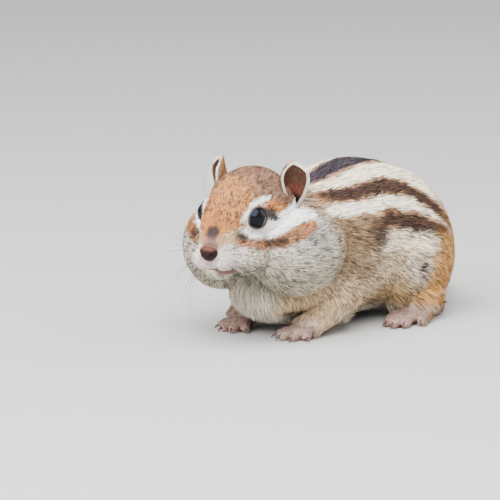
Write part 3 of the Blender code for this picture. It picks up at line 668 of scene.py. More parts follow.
def head_colour(q):
    """The colour of places on the head, from its own coordinates. Later strokes cover earlier ones."""
    p = np.stack([np.abs(q[:, 0]), q[:, 1], q[:, 2]], -1) + shaken(q, 2.2, (1, 2, 3), 0.22)
    y, z = p[:, 1], p[:, 2]
    c = np.tile(GREY_CREAM, (len(p), 1))
    # the throat and the pouch's underside take the throat's cream-grey, darkened as painted shade under the
    # chin
    c = mix(c, THROAT_WITH_PAINTED_SHADE, np.maximum(ease(z, -15, -21) * ease(y, 18, 8), 0.7 * ease(z, -11, -17)))
    c = mix(c, BLUE_GREY, 0.8 * np.exp(-((p - POUCH_GREY_AT) ** 2).sum(axis=1) / 60))
    c = mix(c, CREAM, 0.65 * ease(y, 21, 28) * ease(z, -6, -12))
    crown = ease(z - np.interp(y, *CROWN_LINE), -0.5, 0.5)
    c = mix(c, FOREHEAD, crown)
    c = mix(c, CROWN, crown * ease(y + 0.5 * p[:, 0], 2, 13))
    c = mix(c, SNOUT, stroke(p, SNOUT_TOP, 0.35, TOP_FLAT))
    c = mix(c, MUZZLE, 0.9 * stroke(p, MUZZLE_TAN, 0.6))
    c = mix(c, ORANGE, 0.95 * stroke(p, CHEEK_STRIPE, 0.7, SIDE_FLAT))
    c = mix(c, DARK_BROWN, 0.85 * stroke(p, CHEEK_DARK, 0.7, SIDE_FLAT))
    c = mix(c, MUZZLE_SPOT, 0.9 * stroke(p, MUZZLE_DARK, 0.6, SIDE_FLAT))
    c = mix(c, LIP_PALE, 0.9 * np.maximum(stroke(p, LIP_WHITE, 0.5), stroke(p, LIP_LOW, 0.5)))
    c = mix(c, FOREHEAD, stroke(p, EYE_STRIP, 0.4))
    c = mix(c, WHITE, stroke(p, LOWER_WHITE, 0.4, SIDE_FLAT))
    c = mix(c, CANTHUS_PALE, 0.8 * stroke(p, CANTHUS_WHITE, 0.6))
    c = mix(c, WHITE, stroke(p, UPPER_WHITE, 0.4))
    c = mix(c, DARK, 0.95 * stroke(p, EYE_PATCH, 0.4, SIDE_FLAT))
    c = mix(c, DARK, 0.9 * stroke(p, BRIDGE_SPOT, 0.6, TOP_FLAT))
    return c


# %% Stripes of the trunk, as degrees from the spine at distances back
TRUNK_ROWS = np.array(TRUNK, float)
BARREL_RADIUS = 25.0
INNER_PATH = ([10, 14, 29, 38, 50, 57, 62, 72], [30, 32, 40, 41, 50, 58, 61, 63])
OUTER_PATH = ([26.7, 33, 41, 56, 64, 72], [84, 67, 73, 79, 81, 82])
PALE_PATH = ([12, 22, 39, 61, 72], [51, 53, 56, 71, 73])
LOW_PATH = ([28, 40, 52, 64, 72], [84, 86, 89, 92, 93])
MEDIAN_EDGE = ([15, 28, 42, 58, 72], [7.5, 9.5, 12.5, 12.5, 8])
MARK_AT = (46.1, 19.0)


def barrel(p):
    """How far round from the spine each place lies, in degrees: 0 on the back, 90 on the side, 180 below."""
    rows = [np.interp(p[:, 1], TRUNK_ROWS[:, 1], TRUNK_ROWS[:, k]) for k in (2, 3, 4, 5)]
    rise = p[:, 2] - rows[0]
    return np.degrees(np.arctan2(np.abs(p[:, 0]) / rows[1], rise / np.where(rise > 0, rows[2], rows[3])))


def band(y, phi, path, half, ends, soft=0.9):
    """The share in which a place lies on a stripe, whose path gives the angle at each distance back."""
    gap = np.abs(phi - np.interp(y, *path)) * np.pi / 180 * BARREL_RADIUS
    fade = ease(y, ends[0], ends[0] + 5) * ease(y, ends[1], ends[1] - 7)
    return ease(gap, half + soft, half - soft) * fade


# %% Colour of the trunk, limbs and whole coat


def body_colour(p):
    """The colour of places on the trunk, legs and tail's root, from the body's coordinates."""
    p = p + shaken(p, 5.0, (4, 5, 6), 0.5)
    p = p + shaken(p, 1.8, (7, 8, 9), 0.25)
    x, y, z = np.abs(p[:, 0]), p[:, 1], p[:, 2]
    phi = barrel(p)
    c = np.tile(BACK_BROWN, (len(p), 1))
    c = mix(c, SIDE_BUFF, ease(phi, 84, 98))
    c = mix(c, SHOULDER, 0.9 * ease(y, 32, 22) * ease(phi, 54, 66) * ease(phi, 130, 108))
    c = mix(c, NAPE, 0.9 * ease(y, 14, 4) * ease(phi, 60, 30))
    c = mix(c, BUFF, 0.7 * ease(phi, 108, 122) * ease(y, 36, 24))
    c = mix(c, PALE_BAND, band(y, phi, PALE_PATH, 2.8, (6, 76)))
    inner = np.interp(y, *INNER_PATH)
    c = mix(c, INNER_BAND, ease(y, 8, 18) * ease(phi - inner, -4, -9) * ease(y, 84, 62))
    median = np.interp(y, *MEDIAN_EDGE)
    edge = np.maximum(band(y, phi, INNER_PATH, 4.0, (8, 78)), band(y, phi, OUTER_PATH, 3.9, (26, 76)))
    edge = np.maximum(edge, ease(phi - median, 5.0, 1.5) * ease(y, 14, 20) * ease(y, 80, 70))
    c = mix(c, STRIPE_EDGE, 0.85 * edge)
    c = mix(c, CREAM, 0.9 * band(y, phi, LOW_PATH, 3.6, (26, 72), 1.5))
    patch = ease(((y - 28.5) / 4.5) ** 2 + ((phi - 77) / 13) ** 2, 1.5, 0.5)
    c = mix(c, DARK_BROWN, 0.8 * patch)
    c = mix(c, DARK_BROWN, 0.95 * band(y, phi, OUTER_PATH, 2.7, (26, 67)))
    c = mix(c, DARK_BROWN, 0.95 * band(y, phi, INNER_PATH, 3.1, (11, 74)))
    c = mix(c, MEDIAN, 0.97 * ease(phi - median, 1.5, -1.5) * ease(y, 15, 20) * ease(y, 80, 68))
    c = mix(c, OCHRE, 0.85 * ease(phi, 108, 124) * ease(y, 26, 38) * ease(y, 66, 56))
    c = mix(c, RUST, 0.95 * ease(y + 0.20 * (phi - 80), 52, 61) * ease(phi, 74, 84))
    c = mix(c, RUST, 0.9 * ease(y + 0.08 * phi + 1.2 * waves(p, 7.0, 14), 64, 80))
    on_flank = ease(x, 18, 22)
    ring = np.exp(-(((y - MARK_AT[0]) / 3.4) ** 2 + ((z - MARK_AT[1]) / 4.6) ** 2))
    c = mix(c, MARK_RING, 0.8 * ring * on_flank)
    line = np.exp(-(((y - MARK_AT[0] - 0.12 * (z - 18)) / 0.75) ** 2 + ((z - 18.5) / 3.0) ** 2))
    c = mix(c, MARK_LINE, np.clip(1.6 * line, 0, 1) * on_flank * (p[:, 0] > 0))
    c = mix(c, BELLY, ease(phi, 138, 154))
    c = mix(c, BELLY, 0.85 * ease(z, 9, 4) * ease(y, 16, 22) * ease(x, 27, 22))
    leg = ease(y, 22, 15) * ease(z, 19, 12) * ease(x, 6, 9)
    c = mix(c, BUFF, leg)
    c = mix(c, LEG_PALE, 0.7 * leg * ease(y, 9, 14) * ease(z, 12, 8))
    c = mix(c, FOOT_HAIR, foot_share(p))
    return c


def coat_colour(p):
    """The colour of any place on the coat's outside. The last step darkens all but the whites."""
    q = from_head(p)
    head = np.maximum(ease(q[:, 1], 25, 18) * ease(q[:, 2], -31, -25), cheek_share(q))
    colour = mix(body_colour(p), head_colour(q), head)
    return colour * np.clip(np.sqrt(colour.mean(axis=1) / FULL_LIGHT), MID_TONE, WHITE_GAIN)[:, None]


def cheek_share(q):
    """1 on the cheek pouches, and 0 a little way off them."""
    share = np.zeros(len(q))
    for _, sign in SIDES:
        away = (q - CHEEK[0] * [sign, 1, 1]) @ turned(-14 * sign, 4)
        out = np.linalg.norm(away / (CHEEK[1] - CHEEK_DEPTH), axis=1)
        share = np.maximum(share, ease(out, 1.16, 1.04))
    return share


# %% [markdown]
# ## The skin's colours, with painted shade
# What shows of the skin lies mostly in the shade between the hairs, so it takes the coat's colours a little
# darker, as painted shade. On the soles and toes it is bare and pink. A fine noise raises it like short down.

# %% Colours and materials on a mesh
# the share of the coat's colour that the skin keeps: painted shade between the hairs
SKIN_PAINTED_SHADE = 0.72
COLOUR_LAYER = "coat"


def write_colour(mesh, colour):
    """Stores a colour at each point of a mesh, for a material to read."""
    layer = mesh.attributes.new(COLOUR_LAYER, "FLOAT_COLOR", "POINT")
    rgba = np.concatenate([np.clip(colour, 0, 1), np.ones((len(colour), 1))], axis=1)
    layer.data.foreach_set("color", rgba.astype(np.float32).ravel())


def attribute_material(name, roughness, bump_scale=0.0, bump_height=0.0, sheen=0.0):
    """A Principled material whose colour is a mesh attribute, with an optional bump from noise."""
    material, shader = new_material(name, roughness=roughness)
    tree = material.node_tree
    colour = tree.nodes.new("ShaderNodeAttribute")
    colour.attribute_name = COLOUR_LAYER
    tree.links.new(colour.outputs["Color"], shader.inputs["Base Color"])
    shader.inputs["Sheen Weight"].default_value = sheen
    shader.inputs["Sheen Roughness"].default_value = 0.4
    if bump_height > 0:
        place = tree.nodes.new("ShaderNodeTexCoord")
        noise = tree.nodes.new("ShaderNodeTexNoise")
        noise.inputs["Scale"].default_value = bump_scale
        noise.inputs["Detail"].default_value = 4.0
        bump = tree.nodes.new("ShaderNodeBump")
        bump.inputs["Strength"].default_value = 0.6
        bump.inputs["Distance"].default_value = bump_height
        tree.links.new(place.outputs["Object"], noise.inputs["Vector"])
        tree.links.new(noise.outputs["Fac"], bump.inputs["Height"])
        tree.links.new(bump.outputs["Normal"], shader.inputs["Normal"])
    return material, shader


def coat_depth(p):
    """How far the coat's outside stands off the skin, in mm."""
    q = from_head(p)
    head = 0.5 + 0.9 * ease(q[:, 1], -4, 22)
    depth = head + (BODY_DEPTH - head) * ease(q[:, 1], 20, 30)
    depth = np.maximum(depth, CHEEK_DEPTH * cheek_share(q))
    return depth * ease(p[:, 2], 2, 16)


# %% Colour the skin
skin_outside = skin_points + skin_normals * coat_depth(skin_points)[:, None]
# the skin takes the coat's colours darkened as painted shade, and bare pink on the soles
skin_colour = mix(coat_colour(skin_outside) * SKIN_PAINTED_SHADE, FOOT_SKIN, foot_share(skin_points))
write_colour(skin.data, skin_colour)
skin.data.materials.clear()
skin.data.materials.append(attribute_material("skin", 0.75, 1500.0, 0.0002, 0.1)[0])
FLESH = ["head", "neck", "trunk", "jaw", "tail_base", "tail_middle", "tail_tip"]
for side, _ in SIDES:
    FLESH += [f"{part}_{side}" for part in ("cheek_pouch", "foreleg", "forepaw", "thigh", "hindfoot")]
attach(skin, "root")
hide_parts(*FLESH)
print("the skin stands for", len(FLESH), "solids")

# %% [markdown]
# ## Eyes
# The eyeball is a sphere, nearly black all over, as the dark iris fills what shows of it. A very low
# roughness makes it a wet mirror, tinted blue like the light of a clear day. A thin, dark, hairless rim
# closes it off, a little drawn out to the corners.

# %% Grids and closed pieces


def circle(count):
    """Even angles once round, in radians."""
    return np.linspace(0.0, 2 * np.pi, count, endpoint=False)


def grid_faces(rows, columns, closed_rows=False, closed_columns=False):
    """Quads of a grid of points in rows and columns, which may close on itself either way."""
    i = np.arange(rows if closed_rows else rows - 1)[:, None]
    k = np.arange(columns if closed_columns else columns - 1)[None, :]
    low, high = i * columns, (i + 1) % rows * columns
    after = (k + 1) % columns
    return np.stack([low + k, low + after, high + after, high + k], -1).reshape(-1, 4).tolist()


def capped_faces(rows, columns):
    """Faces of a tube of rings, with one many-sided face over each end."""
    last = (rows - 1) * columns
    caps = [tuple(range(columns)), tuple(range(last, last + columns))[::-1]]
    return grid_faces(rows, columns, False, True) + caps


def in_scene(points):
    """Places in the body's millimetres, as metres in the row's frame."""
    return (np.asarray(points).reshape(-1, 3) + SHIFT) * MM


def face_outwards(obj):
    """Turns a closed mesh the right way out when its enclosed volume comes out negative."""
    points, _, tris = read_mesh(obj.data)
    a, b, c = (points[tris[:, i]] - points.mean(axis=0) for i in range(3))
    if np.einsum("ij,ij->i", a, np.cross(b, c)).sum() < 0:
        obj.data.flip_normals()
    return obj


def declare(obj, material, slot, *nodes):
    """Gives a piece its material and its body, and hides the solids that it stands for. The slot is not used.
    """
    obj.data.materials.clear()
    obj.data.materials.append(material)
    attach(obj, "root")
    if nodes:
        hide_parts(*nodes)
    print(obj.name, "has", sum(len(p.vertices) - 2 for p in obj.data.polygons), "triangles")
    return obj


# %% Eyeballs and rims
RIM_THICKNESS, RIM_STAND_OFF, RIM_ROWS, RIM_SIDES = 0.34, 0.12, 96, 14
EYE_BLACK, RIM_BROWN = (0.006, 0.0045, 0.004), (0.030, 0.017, 0.015)
eye_material, eye_shader = new_material("eye_wet", EYE_BLACK, 0.04)
eye_shader.inputs["Specular IOR Level"].default_value = 0.17
eye_shader.inputs["Specular Tint"].default_value = (0.34, 0.66, 1.0, 1.0)
rim_material = new_material("eye_rim", RIM_BROWN, 0.35)[0]


def eye_rim(sign):
    """A ring round the eye: tube angle u round the rim's line, whose opening widens to both corners."""
    axis, front, other = eye_frame(sign)
    t, u = circle(RIM_ROWS)[:, None], circle(RIM_SIDES)[None, :]
    opening = np.radians(lid_opening(t) - 0.5)
    around = np.cos(t)[..., None] * front + np.sin(t)[..., None] * other
    ray = np.cos(opening)[..., None] * axis + np.sin(opening)[..., None] * around
    slide = -np.sin(opening)[..., None] * axis + np.cos(opening)[..., None] * around
    ring = (EYE_RADIUS + RIM_STAND_OFF) * ray
    tube = RIM_THICKNESS * (np.cos(u)[..., None] * ray * 0.8 + np.sin(u)[..., None] * slide * 1.15)
    return EYE_AT * [sign, 1, 1] + ring + tube


for side, sign in SIDES:
    points, faces = egg(on_head(EYE_AT * [sign, 1, 1]), [EYE_RADIUS] * 3, HEAD_TURN, 64, 40)
    ball = face_outwards(mesh_piece(f"eyeball_{side}", in_scene(points), faces))
    declare(ball, eye_material, "eye", f"eye_{side}")
    points, faces = on_head(eye_rim(sign).reshape(-1, 3)), grid_faces(RIM_ROWS, RIM_SIDES, True, True)
    rim = face_outwards(mesh_piece(f"eye_rim_{side}", in_scene(points), faces))
    declare(rim, rim_material, "eye")

# %% [markdown]
# ## Nose and mouth
# The nose pad is a small bare egg with two comma-shaped nostrils and a groove between them. Its surface is
# a function of two angles, pressed in where a nostril lies. Below it, a thin pink lower lip shows.

# %% Nose pad
NOSE_AT, NOSE_RADII = np.array([0.0, -14.5, -8.7]), np.array([3.1, 2.2, 2.35])
NOSE_ROWS, NOSE_COLUMNS, POLE_GAP = 56, 72, 0.02
NOSE_BROWN, NOSE_TOP, NOSE_LOW, NOSTRIL_PAINTED_SHADE = srgb(38, 15, 10), srgb(90, 52, 42), srgb(38, 19, 17), srgb(18, 8, 8)
NOSTRIL_DENT, GROOVE_DENT, FRONT_DENT, TOP_WIDER = 0.42, 0.10, 0.10, 0.22


def nose_pad():
    """An egg whose latitude runs from its front, with each nostril a bell-shaped dent."""
    b = np.linspace(POLE_GAP, np.pi - POLE_GAP, NOSE_ROWS)[:, None]
    a = circle(NOSE_COLUMNS)[None, :]
    way = np.stack([np.sin(b) * np.cos(a), -np.cos(b) + 0 * a, np.sin(b) * np.sin(a)], -1)
    x, z = np.abs(way[..., 0]), way[..., 2]
    comma = ((x - 0.66 - 0.35 * (z + 0.15)) / 0.24) ** 2 + ((z + 0.15) / 0.38) ** 2
    in_front = way[..., 1] < 0
    nostril = np.exp(-comma) * in_front
    groove = np.exp(-((x / 0.06) ** 2)) * ease(z, 0.2, -0.2) * in_front
    dent = 1 - NOSTRIL_DENT * nostril - GROOVE_DENT * groove
    flat = np.where(in_front, 1 - FRONT_DENT * np.exp(-((way[..., 1] + 1) / 0.2) ** 2), 1.0)
    points = way * NOSE_RADII * (dent * flat)[..., None] + NOSE_AT
    points[..., 0] *= 1.0 + TOP_WIDER * z
    shade = np.tile(NOSE_BROWN, (z.size, 1))
    shade = mix(shade, NOSE_TOP, ease(z.ravel(), 0.35, 0.95))
    shade = mix(shade, NOSE_LOW, ease(z.ravel(), 0.05, -0.6))
    # the dents are shallow, so the dark inside each nostril is painted shade
    shade = mix(shade, NOSTRIL_PAINTED_SHADE, ease(nostril.ravel(), 0.15, 0.6))
    return on_head(points.reshape(-1, 3)), shade


pad_points, pad_colour = nose_pad()
pad = mesh_piece("nose_pad", in_scene(pad_points), capped_faces(NOSE_ROWS, NOSE_COLUMNS))
pad = face_outwards(pad)
write_colour(pad.data, pad_colour)
nose_material, nose_shader = attribute_material("nose_leather", 0.5, 6000.0, 0.00008)
nose_shader.inputs["Specular IOR Level"].default_value = 0.16
declare(pad, nose_material, "nose", "nose")

# %% Lower lip
LIP_HALF, LIP_FRONT, LIP_BEND, LIP_UP, LIP_SAG = 6.4, -13.1, 3.4, -14.3, 1.2
LIP_ROWS, LIP_COLUMNS, LIP_THICK, LIP_THIN_SHARE = 40, 12, 1.45, 0.15


def lip_gap(q):
    """Distance to the middle line of the lip, and how far along it, from -1 to 1."""
    s = np.clip(q[:, 0] / LIP_HALF, -1, 1)
    off_x = q[:, 0] - LIP_HALF * s
    off_y = q[:, 1] - LIP_FRONT - LIP_BEND * s**2
    off_z = q[:, 2] - LIP_UP + LIP_SAG * s**2
    return np.linalg.norm(np.stack([off_x, off_y, off_z], -1), axis=1), s


def lip_line():
    """A crescent roll along the jaw: s from corner to corner, and u round it. It is thin on the far side."""
    s = np.linspace(-1, 1, LIP_ROWS)[:, None]
    u = circle(LIP_COLUMNS)[None, :]
    fullness = LIP_THIN_SHARE + (1 - LIP_THIN_SHARE) * ease(s, 0.15, 0.45)
    thick = LIP_THICK * np.sqrt(np.clip(1 - s**4, 0.0004, 1)) * fullness
    x = LIP_HALF * s + 0 * u
    y = LIP_FRONT + LIP_BEND * s**2 - thick * np.cos(u)
    z = LIP_UP - LIP_SAG * s**2 + 0.8 * thick * np.sin(u)
    return on_head(np.stack([x, y, z], -1).reshape(-1, 3))


lip = face_outwards(mesh_piece("lower_lip", in_scene(lip_line()), capped_faces(LIP_ROWS, LIP_COLUMNS)))
declare(lip, new_material("lip_skin", tuple(srgb(100, 57, 57)), 0.5)[0], "nose")

# %% [markdown]
# ## Ears
# Each ear is a thin cupped leaf. Rows go up from its base and columns go across it, and the leaf bends
# round a cylinder that opens towards the top. Its inside is bare brown skin that turns pink lower down,
# and its edge has a white fringe.

# %% The ear as a surface
EAR_HEIGHT, EAR_HALF_WIDTH, EAR_WALL, EAR_WIDEST, EAR_ROUNDNESS = 14.6, 5.8, 0.5, 0.56, 3.2
EAR_YAW, EAR_PITCH, EAR_ROLL, EAR_FOOT = 46, -10, 6.0, (10.3, 20.4, -1.6)
BEND_TOP, BEND_MORE, TIP_BACK = 55, 95, 2.6


def ear_place(sign, rise, across):
    """A place on the ear's middle layer, in the body's frame, from two coordinates.

    A row is an arc, as wide as the leaf is there, whose bend in degrees grows towards the base.
    """
    above_widest = np.clip((rise - EAR_WIDEST) / (1 - EAR_WIDEST), 0, 1)
    top = np.sqrt(np.clip(1 - above_widest**EAR_ROUNDNESS, 0, 1))
    taper = 0.80 + 0.20 * np.sin(np.pi / 2 * np.clip(rise / EAR_WIDEST, 0, 1))
    half = np.maximum(EAR_HALF_WIDTH * np.where(rise > EAR_WIDEST, top, taper), 0.35)
    bend = np.radians(BEND_MORE * np.clip(1 - rise, 0, 1) ** 1.2 + BEND_TOP)
    x = half / bend * np.sin(bend * across)
    y = -half / bend * (1 - np.cos(bend * across)) + TIP_BACK * (rise - 0.5) ** 2
    z = EAR_HEIGHT * rise + 0 * across
    sheet = np.stack([x + 0 * z, y + 0 * z, z], -1)
    sheet = sheet @ turned(sign * EAR_YAW, EAR_PITCH).T @ turned(0, 0, sign * EAR_ROLL).T
    return on_head(sheet + np.array(EAR_FOOT) * [sign, 1, 1])


def ear_normal(sign, rise, across, step=0.01):
    """The direction out of the back of the leaf, from differences along its two coordinates."""
    up = ear_place(sign, rise + step, across) - ear_place(sign, rise - step, across)
    over = ear_place(sign, rise, across + step) - ear_place(sign, rise, across - step)
    return unit(np.cross(over, up)) * -1.0


# %% Colours of the ear
EAR_INSIDE, EAR_PINK, EAR_HOLLOW_SHADE = srgb(84, 54, 38), srgb(118, 66, 52), srgb(40, 22, 19)
EAR_BACK, EAR_EDGE = srgb(160, 112, 76), srgb(226, 208, 194)


def ear_colours(rise, across, outer):
    """Brown inside, pink lower down and darkened at the base as painted shade of the cup's hollow, or the
    haired back, with a pale edge on both.
    """
    c = np.tile(EAR_INSIDE, (rise.size, 1))
    r, a = rise.ravel(), across.ravel()
    c = mix(c, EAR_PINK, ease(r, 0.62, 0.42))
    # the base of the inside is painted shade, where the cup is deepest
    c = mix(c, EAR_HOLLOW_SHADE, ease(r, 0.34, 0.22))
    edge = np.maximum(ease(np.abs(a), 0.94, 0.98), ease(r, 0.97, 0.995))
    back = mix(np.tile(EAR_BACK, (rise.size, 1)), WHITE, ease(a, 0.0, 0.6))
    return mix(np.where(outer, back, c), EAR_EDGE, 0.9 * edge)


# %% Ear shells
EAR_ROWS, EAR_COLUMNS = 48, 36
ear_rise = np.linspace(0.0, 0.995, EAR_ROWS)[:, None] + np.zeros((1, EAR_COLUMNS))
ear_across = np.linspace(-1.0, 1.0, EAR_COLUMNS)[None, :] + np.zeros((EAR_ROWS, 1))
ear_material = attribute_material("ear_skin", 0.6, 2500.0, 0.0001, 0.15)[0]


def shell_faces(rows, columns):
    """Faces of two like grids joined round their edges, the second grid's points after the first's."""
    size = rows * columns
    first = np.array(grid_faces(rows, columns))
    faces = first.tolist() + (first[:, ::-1] + size).tolist()
    index = np.arange(size).reshape(rows, columns)
    loop = np.concatenate([index[0, :], index[1:, -1], index[-1, -2::-1], index[-2:0:-1, 0]])
    nxt = np.roll(loop, -1)
    return faces + np.stack([nxt, loop, loop + size, nxt + size], -1).tolist()


def back_is_first(sign):
    """True if ear_normal points out of the ear's back, which faces away from the animal's front and side."""
    out = ear_normal(sign, np.array([0.45]), np.array([0.0]))[0]
    return float(out @ (HEAD_TURN @ [sign * 0.6, -0.8, 0.0])) < 0


for side, sign in SIDES:
    middle = ear_place(sign, ear_rise, ear_across)
    out = ear_normal(sign, ear_rise, ear_across)
    thin = (EAR_WALL / 2 * (1.15 - 0.5 * ear_rise))[..., None]
    layers = np.concatenate([(middle + thin * out).reshape(-1, 3), (middle - thin * out).reshape(-1, 3)])
    shell = mesh_piece(f"ear_shell_{side}", in_scene(layers), shell_faces(EAR_ROWS, EAR_COLUMNS))
    shell = face_outwards(shell)
    first = back_is_first(sign)
    colours = [ear_colours(ear_rise, ear_across * sign, is_back) for is_back in (first, not first)]
    write_colour(shell.data, np.concatenate(colours))
    declare(shell, ear_material, "ear", f"ear_{side}")

# %% [markdown]
# ## Claws and whiskers
# A claw is a tapering horn bent over the toe's end. All eighteen are one joined piece. Whiskers are long
# tapering tubes that leave the muzzle in rows and sweep outwards, back and down under their own weight.

# %% Claws
CLAW_RINGS, CLAW_SIDES = 10, 10
CLAW_BEND, CLAW_REACH, CLAW_DROP, CLAW_THICK = 1.25, 2.25, 2.0, 0.5


def claw(end, root):
    """A horn: share s from root to point along an arc, ring angle u, with a radius that falls as (1 - s)."""
    end, root = np.array(end), np.array(root)
    ahead = unit(end - root)
    ahead[2] = 0
    ahead = unit(ahead)
    up = np.array([0.0, 0.0, 1.0])
    across = np.cross(ahead, up)
    s = np.linspace(0.0, 1.0, CLAW_RINGS)[:, None, None]
    u = circle(CLAW_SIDES)[None, :, None]
    bend = CLAW_BEND * s
    forward = ahead * (CLAW_REACH * np.sin(bend) - 0.25)
    centre = end + forward + up * (0.65 - CLAW_DROP * (1 - np.cos(bend)))
    rise = up * np.cos(bend) + ahead * np.sin(bend)
    radius = CLAW_THICK * (1 - s) ** 0.7 + 0.04
    grid = centre + radius * (0.75 * np.cos(u) * across + np.sin(u) * rise)
    return closed_grid(grid, grid[0].mean(axis=0), grid[-1].mean(axis=0))


horns, claw_nodes = [], []
for side, sign in SIDES:
    for i, (across, forward) in enumerate(FORE_TOES):
        root = on_paw(sign, 0.3 * across, 0.3 * forward, 1.6)
        horns.append(claw(on_paw(sign, across, forward, 1.6), root))
        claw_nodes.append(f"fore_claw_{side}_{i + 1}")
    for i, (across, forward) in enumerate(HIND_TOES):
        root = on_foot(sign, 0.75 * across, forward - 6.0, 1.9)
        horns.append(claw(on_foot(sign, across, forward, 1.9), root))
        claw_nodes.append(f"hind_claw_{side}_{i + 1}")
claw_points, claw_faces = joined(horns)
claw_points[:, 2] = np.maximum(claw_points[:, 2], FLOOR_LEVEL + 0.03)
claws = mesh_piece("claws", in_scene(claw_points), claw_faces)
claw_material = new_material("claw_horn", tuple(srgb(78, 54, 46)), 0.3)[0]
declare(face_outwards(claws), claw_material, "claw", *claw_nodes)

# %% Whiskers
WHISKER_RADIUS, WHISKER_RINGS, WHISKER_SIDES, WHISKER_ROWS, WHISKER_COLUMNS = 0.095, 16, 5, 4, 4
# root and way of the two long hairs over each eye
BROW_HAIRS = (([6.8, -1.5, 4.6], [0.5, 0.1, 0.9]), ([7.6, 0.6, 5.0], [0.65, 0.3, 0.8]))
BROW_LENGTH, BROW_RADIUS = 9.0, 0.06


def whisker(root, way, length, droop, radius):
    """A tube whose line is root + way * s * length + droop * s squared, with a radius that falls to a point."""
    s = np.linspace(0.0, 1.0, WHISKER_RINGS)[:, None]
    line = root + way * s * length + np.asarray(droop) * s**2
    along = unit(np.gradient(line, axis=0))
    across = unit(np.cross(along, [0.0, 0.0, 1.0]))
    above = np.cross(across, along)
    u = circle(WHISKER_SIDES)[None, :, None]
    thick = (radius * (1 - 0.85 * s))[:, None]
    grid = line[:, None] + thick * (np.cos(u) * across[:, None] + np.sin(u) * above[:, None])
    return closed_grid(grid, line[0], line[-1])


whisker_rng = np.random.default_rng(31)
hairs = []
for side, sign in SIDES:
    flip = np.array([sign, 1.0, 1.0])
    for row, column in np.ndindex(WHISKER_ROWS, WHISKER_COLUMNS):
        stray = whisker_rng.uniform(-0.25, 0.25, 3)
        root = np.array([4.2 + 0.75 * column, -12.6 + 1.5 * column, -8.0 - 1.45 * row]) * flip + stray
        way = np.array([0.9 - 0.1 * row, -0.15 + 0.20 * column, 0.28 - 0.26 * row]) * flip
        length = 15 + 2.6 * column + whisker_rng.uniform(-2, 3)
        droop = np.array([-1.5, 5.0 + 0.6 * column, -3.0 - 1.2 * row]) * flip
        hairs.append(whisker(root, unit(way + 0.5 * stray), length, droop, WHISKER_RADIUS))
    for root, way in BROW_HAIRS:
        way = unit(np.array(way)) * flip
        hairs.append(whisker(np.array(root) * flip, way, BROW_LENGTH, [0, 4.0, -1.0], BROW_RADIUS))
whisker_points, whisker_faces = joined(hairs)
whiskers = mesh_piece("whiskers", in_scene(on_head(whisker_points)), whisker_faces)
declare(whiskers, new_material("whisker", tuple(srgb(34, 27, 25)), 0.4)[0], "coat")

# %% [markdown]
# ## The lie of the coat
# Fur looks right when every hair leans the right way. It grows away from the nose over the head, back
# along the trunk and down over the rump, forwards down the legs, and out along the tail. Each region below
# has its own length, width and lean, and shares that fade into each other blend them.

# %% Regions of the coat
NOSE_TIP = np.array([0.0, -17.5, -8.5])
TAIL_PATH = smooth_run(TAIL, 60)


def near_path(points, path):
    """For each place, the index of the nearest row of a path and the distance to it."""
    index = np.zeros(len(points), int)
    best = np.full(len(points), 1e9)
    for i, row in enumerate(path[:, :3]):
        gap = np.linalg.norm(points - row, axis=1)
        closer = gap < best
        index[closer], best[closer] = i, gap[closer]
    return index, best


# name: length in mm, half width in mm, lean in degrees, tufts on a square millimetre
REGIONS = {
    "muzzle": (1.3, 0.075, 16, 60),
    "face": (2.3, 0.085, 14, 46),
    "crown": (3.2, 0.10, 16, 30),
    "cheek": (4.0, 0.11, 17, 26),
    "throat": (5.2, 0.13, 20, 19),
    "body": (5.6, 0.16, 15, 17),
    "fringe": (7.0, 0.15, 22, 17),
    "leg": (3.0, 0.11, 16, 24),
    "foot": (1.3, 0.045, 10, 26),
    "tail": (9.5, 0.13, 30, 20),
}


def region_shares(p):
    """Each region's share at each place, as a dictionary of arrays that add up to 1."""
    q = from_head(p)
    x, y, z = np.abs(p[:, 0]), p[:, 1], p[:, 2]
    cheek = cheek_share(q)
    head = np.maximum(ease(q[:, 1], 26, 19) * ease(q[:, 2], -28, -22), cheek)
    tail_gap = near_path(p, TAIL_PATH[6:])[1]
    tail = ease(tail_gap, 5.5, 4.0) * ease(y - 0.4 * (p[:, 0] + 5), 76, 82)
    foot = foot_share(p)
    front = ease(q[:, 1], 9, 3) * head * (1 - 0.5 * ease(q[:, 2], -13, -18))
    muzzle = ease(q[:, 1], -6.5, -11) * front
    face = front - muzzle
    back_head = head - front
    low = back_head * ease(q[:, 2], 3, -3)
    throat = ease(q[:, 2], -20, -27) * low
    leg = ease(y, 20, 15) * ease(z, 17, 11) * ease(x, 6, 9)
    leg = np.maximum(leg, ease(z, 11, 8) * ease(y, 50, 56) * ease(x, 16, 19) * ease(y, 78, 74))
    leg = leg * (1 - head) * (1 - foot)
    rest = (1 - head) * (1 - leg) * (1 - foot)
    fringe = rest * np.maximum(ease(z, 11, 6) * ease(x, 8, 14), ease(y, 12, 2) * ease(z, 30, 22))
    shares = {
        "muzzle": muzzle, "face": face, "crown": back_head - low, "cheek": low - throat, "throat": throat,
        "body": rest - fringe, "fringe": fringe, "leg": leg, "foot": foot * (1 - head),
    }
    for key in shares:
        shares[key] = shares[key] * (1 - tail)
    shares["tail"] = tail
    return shares


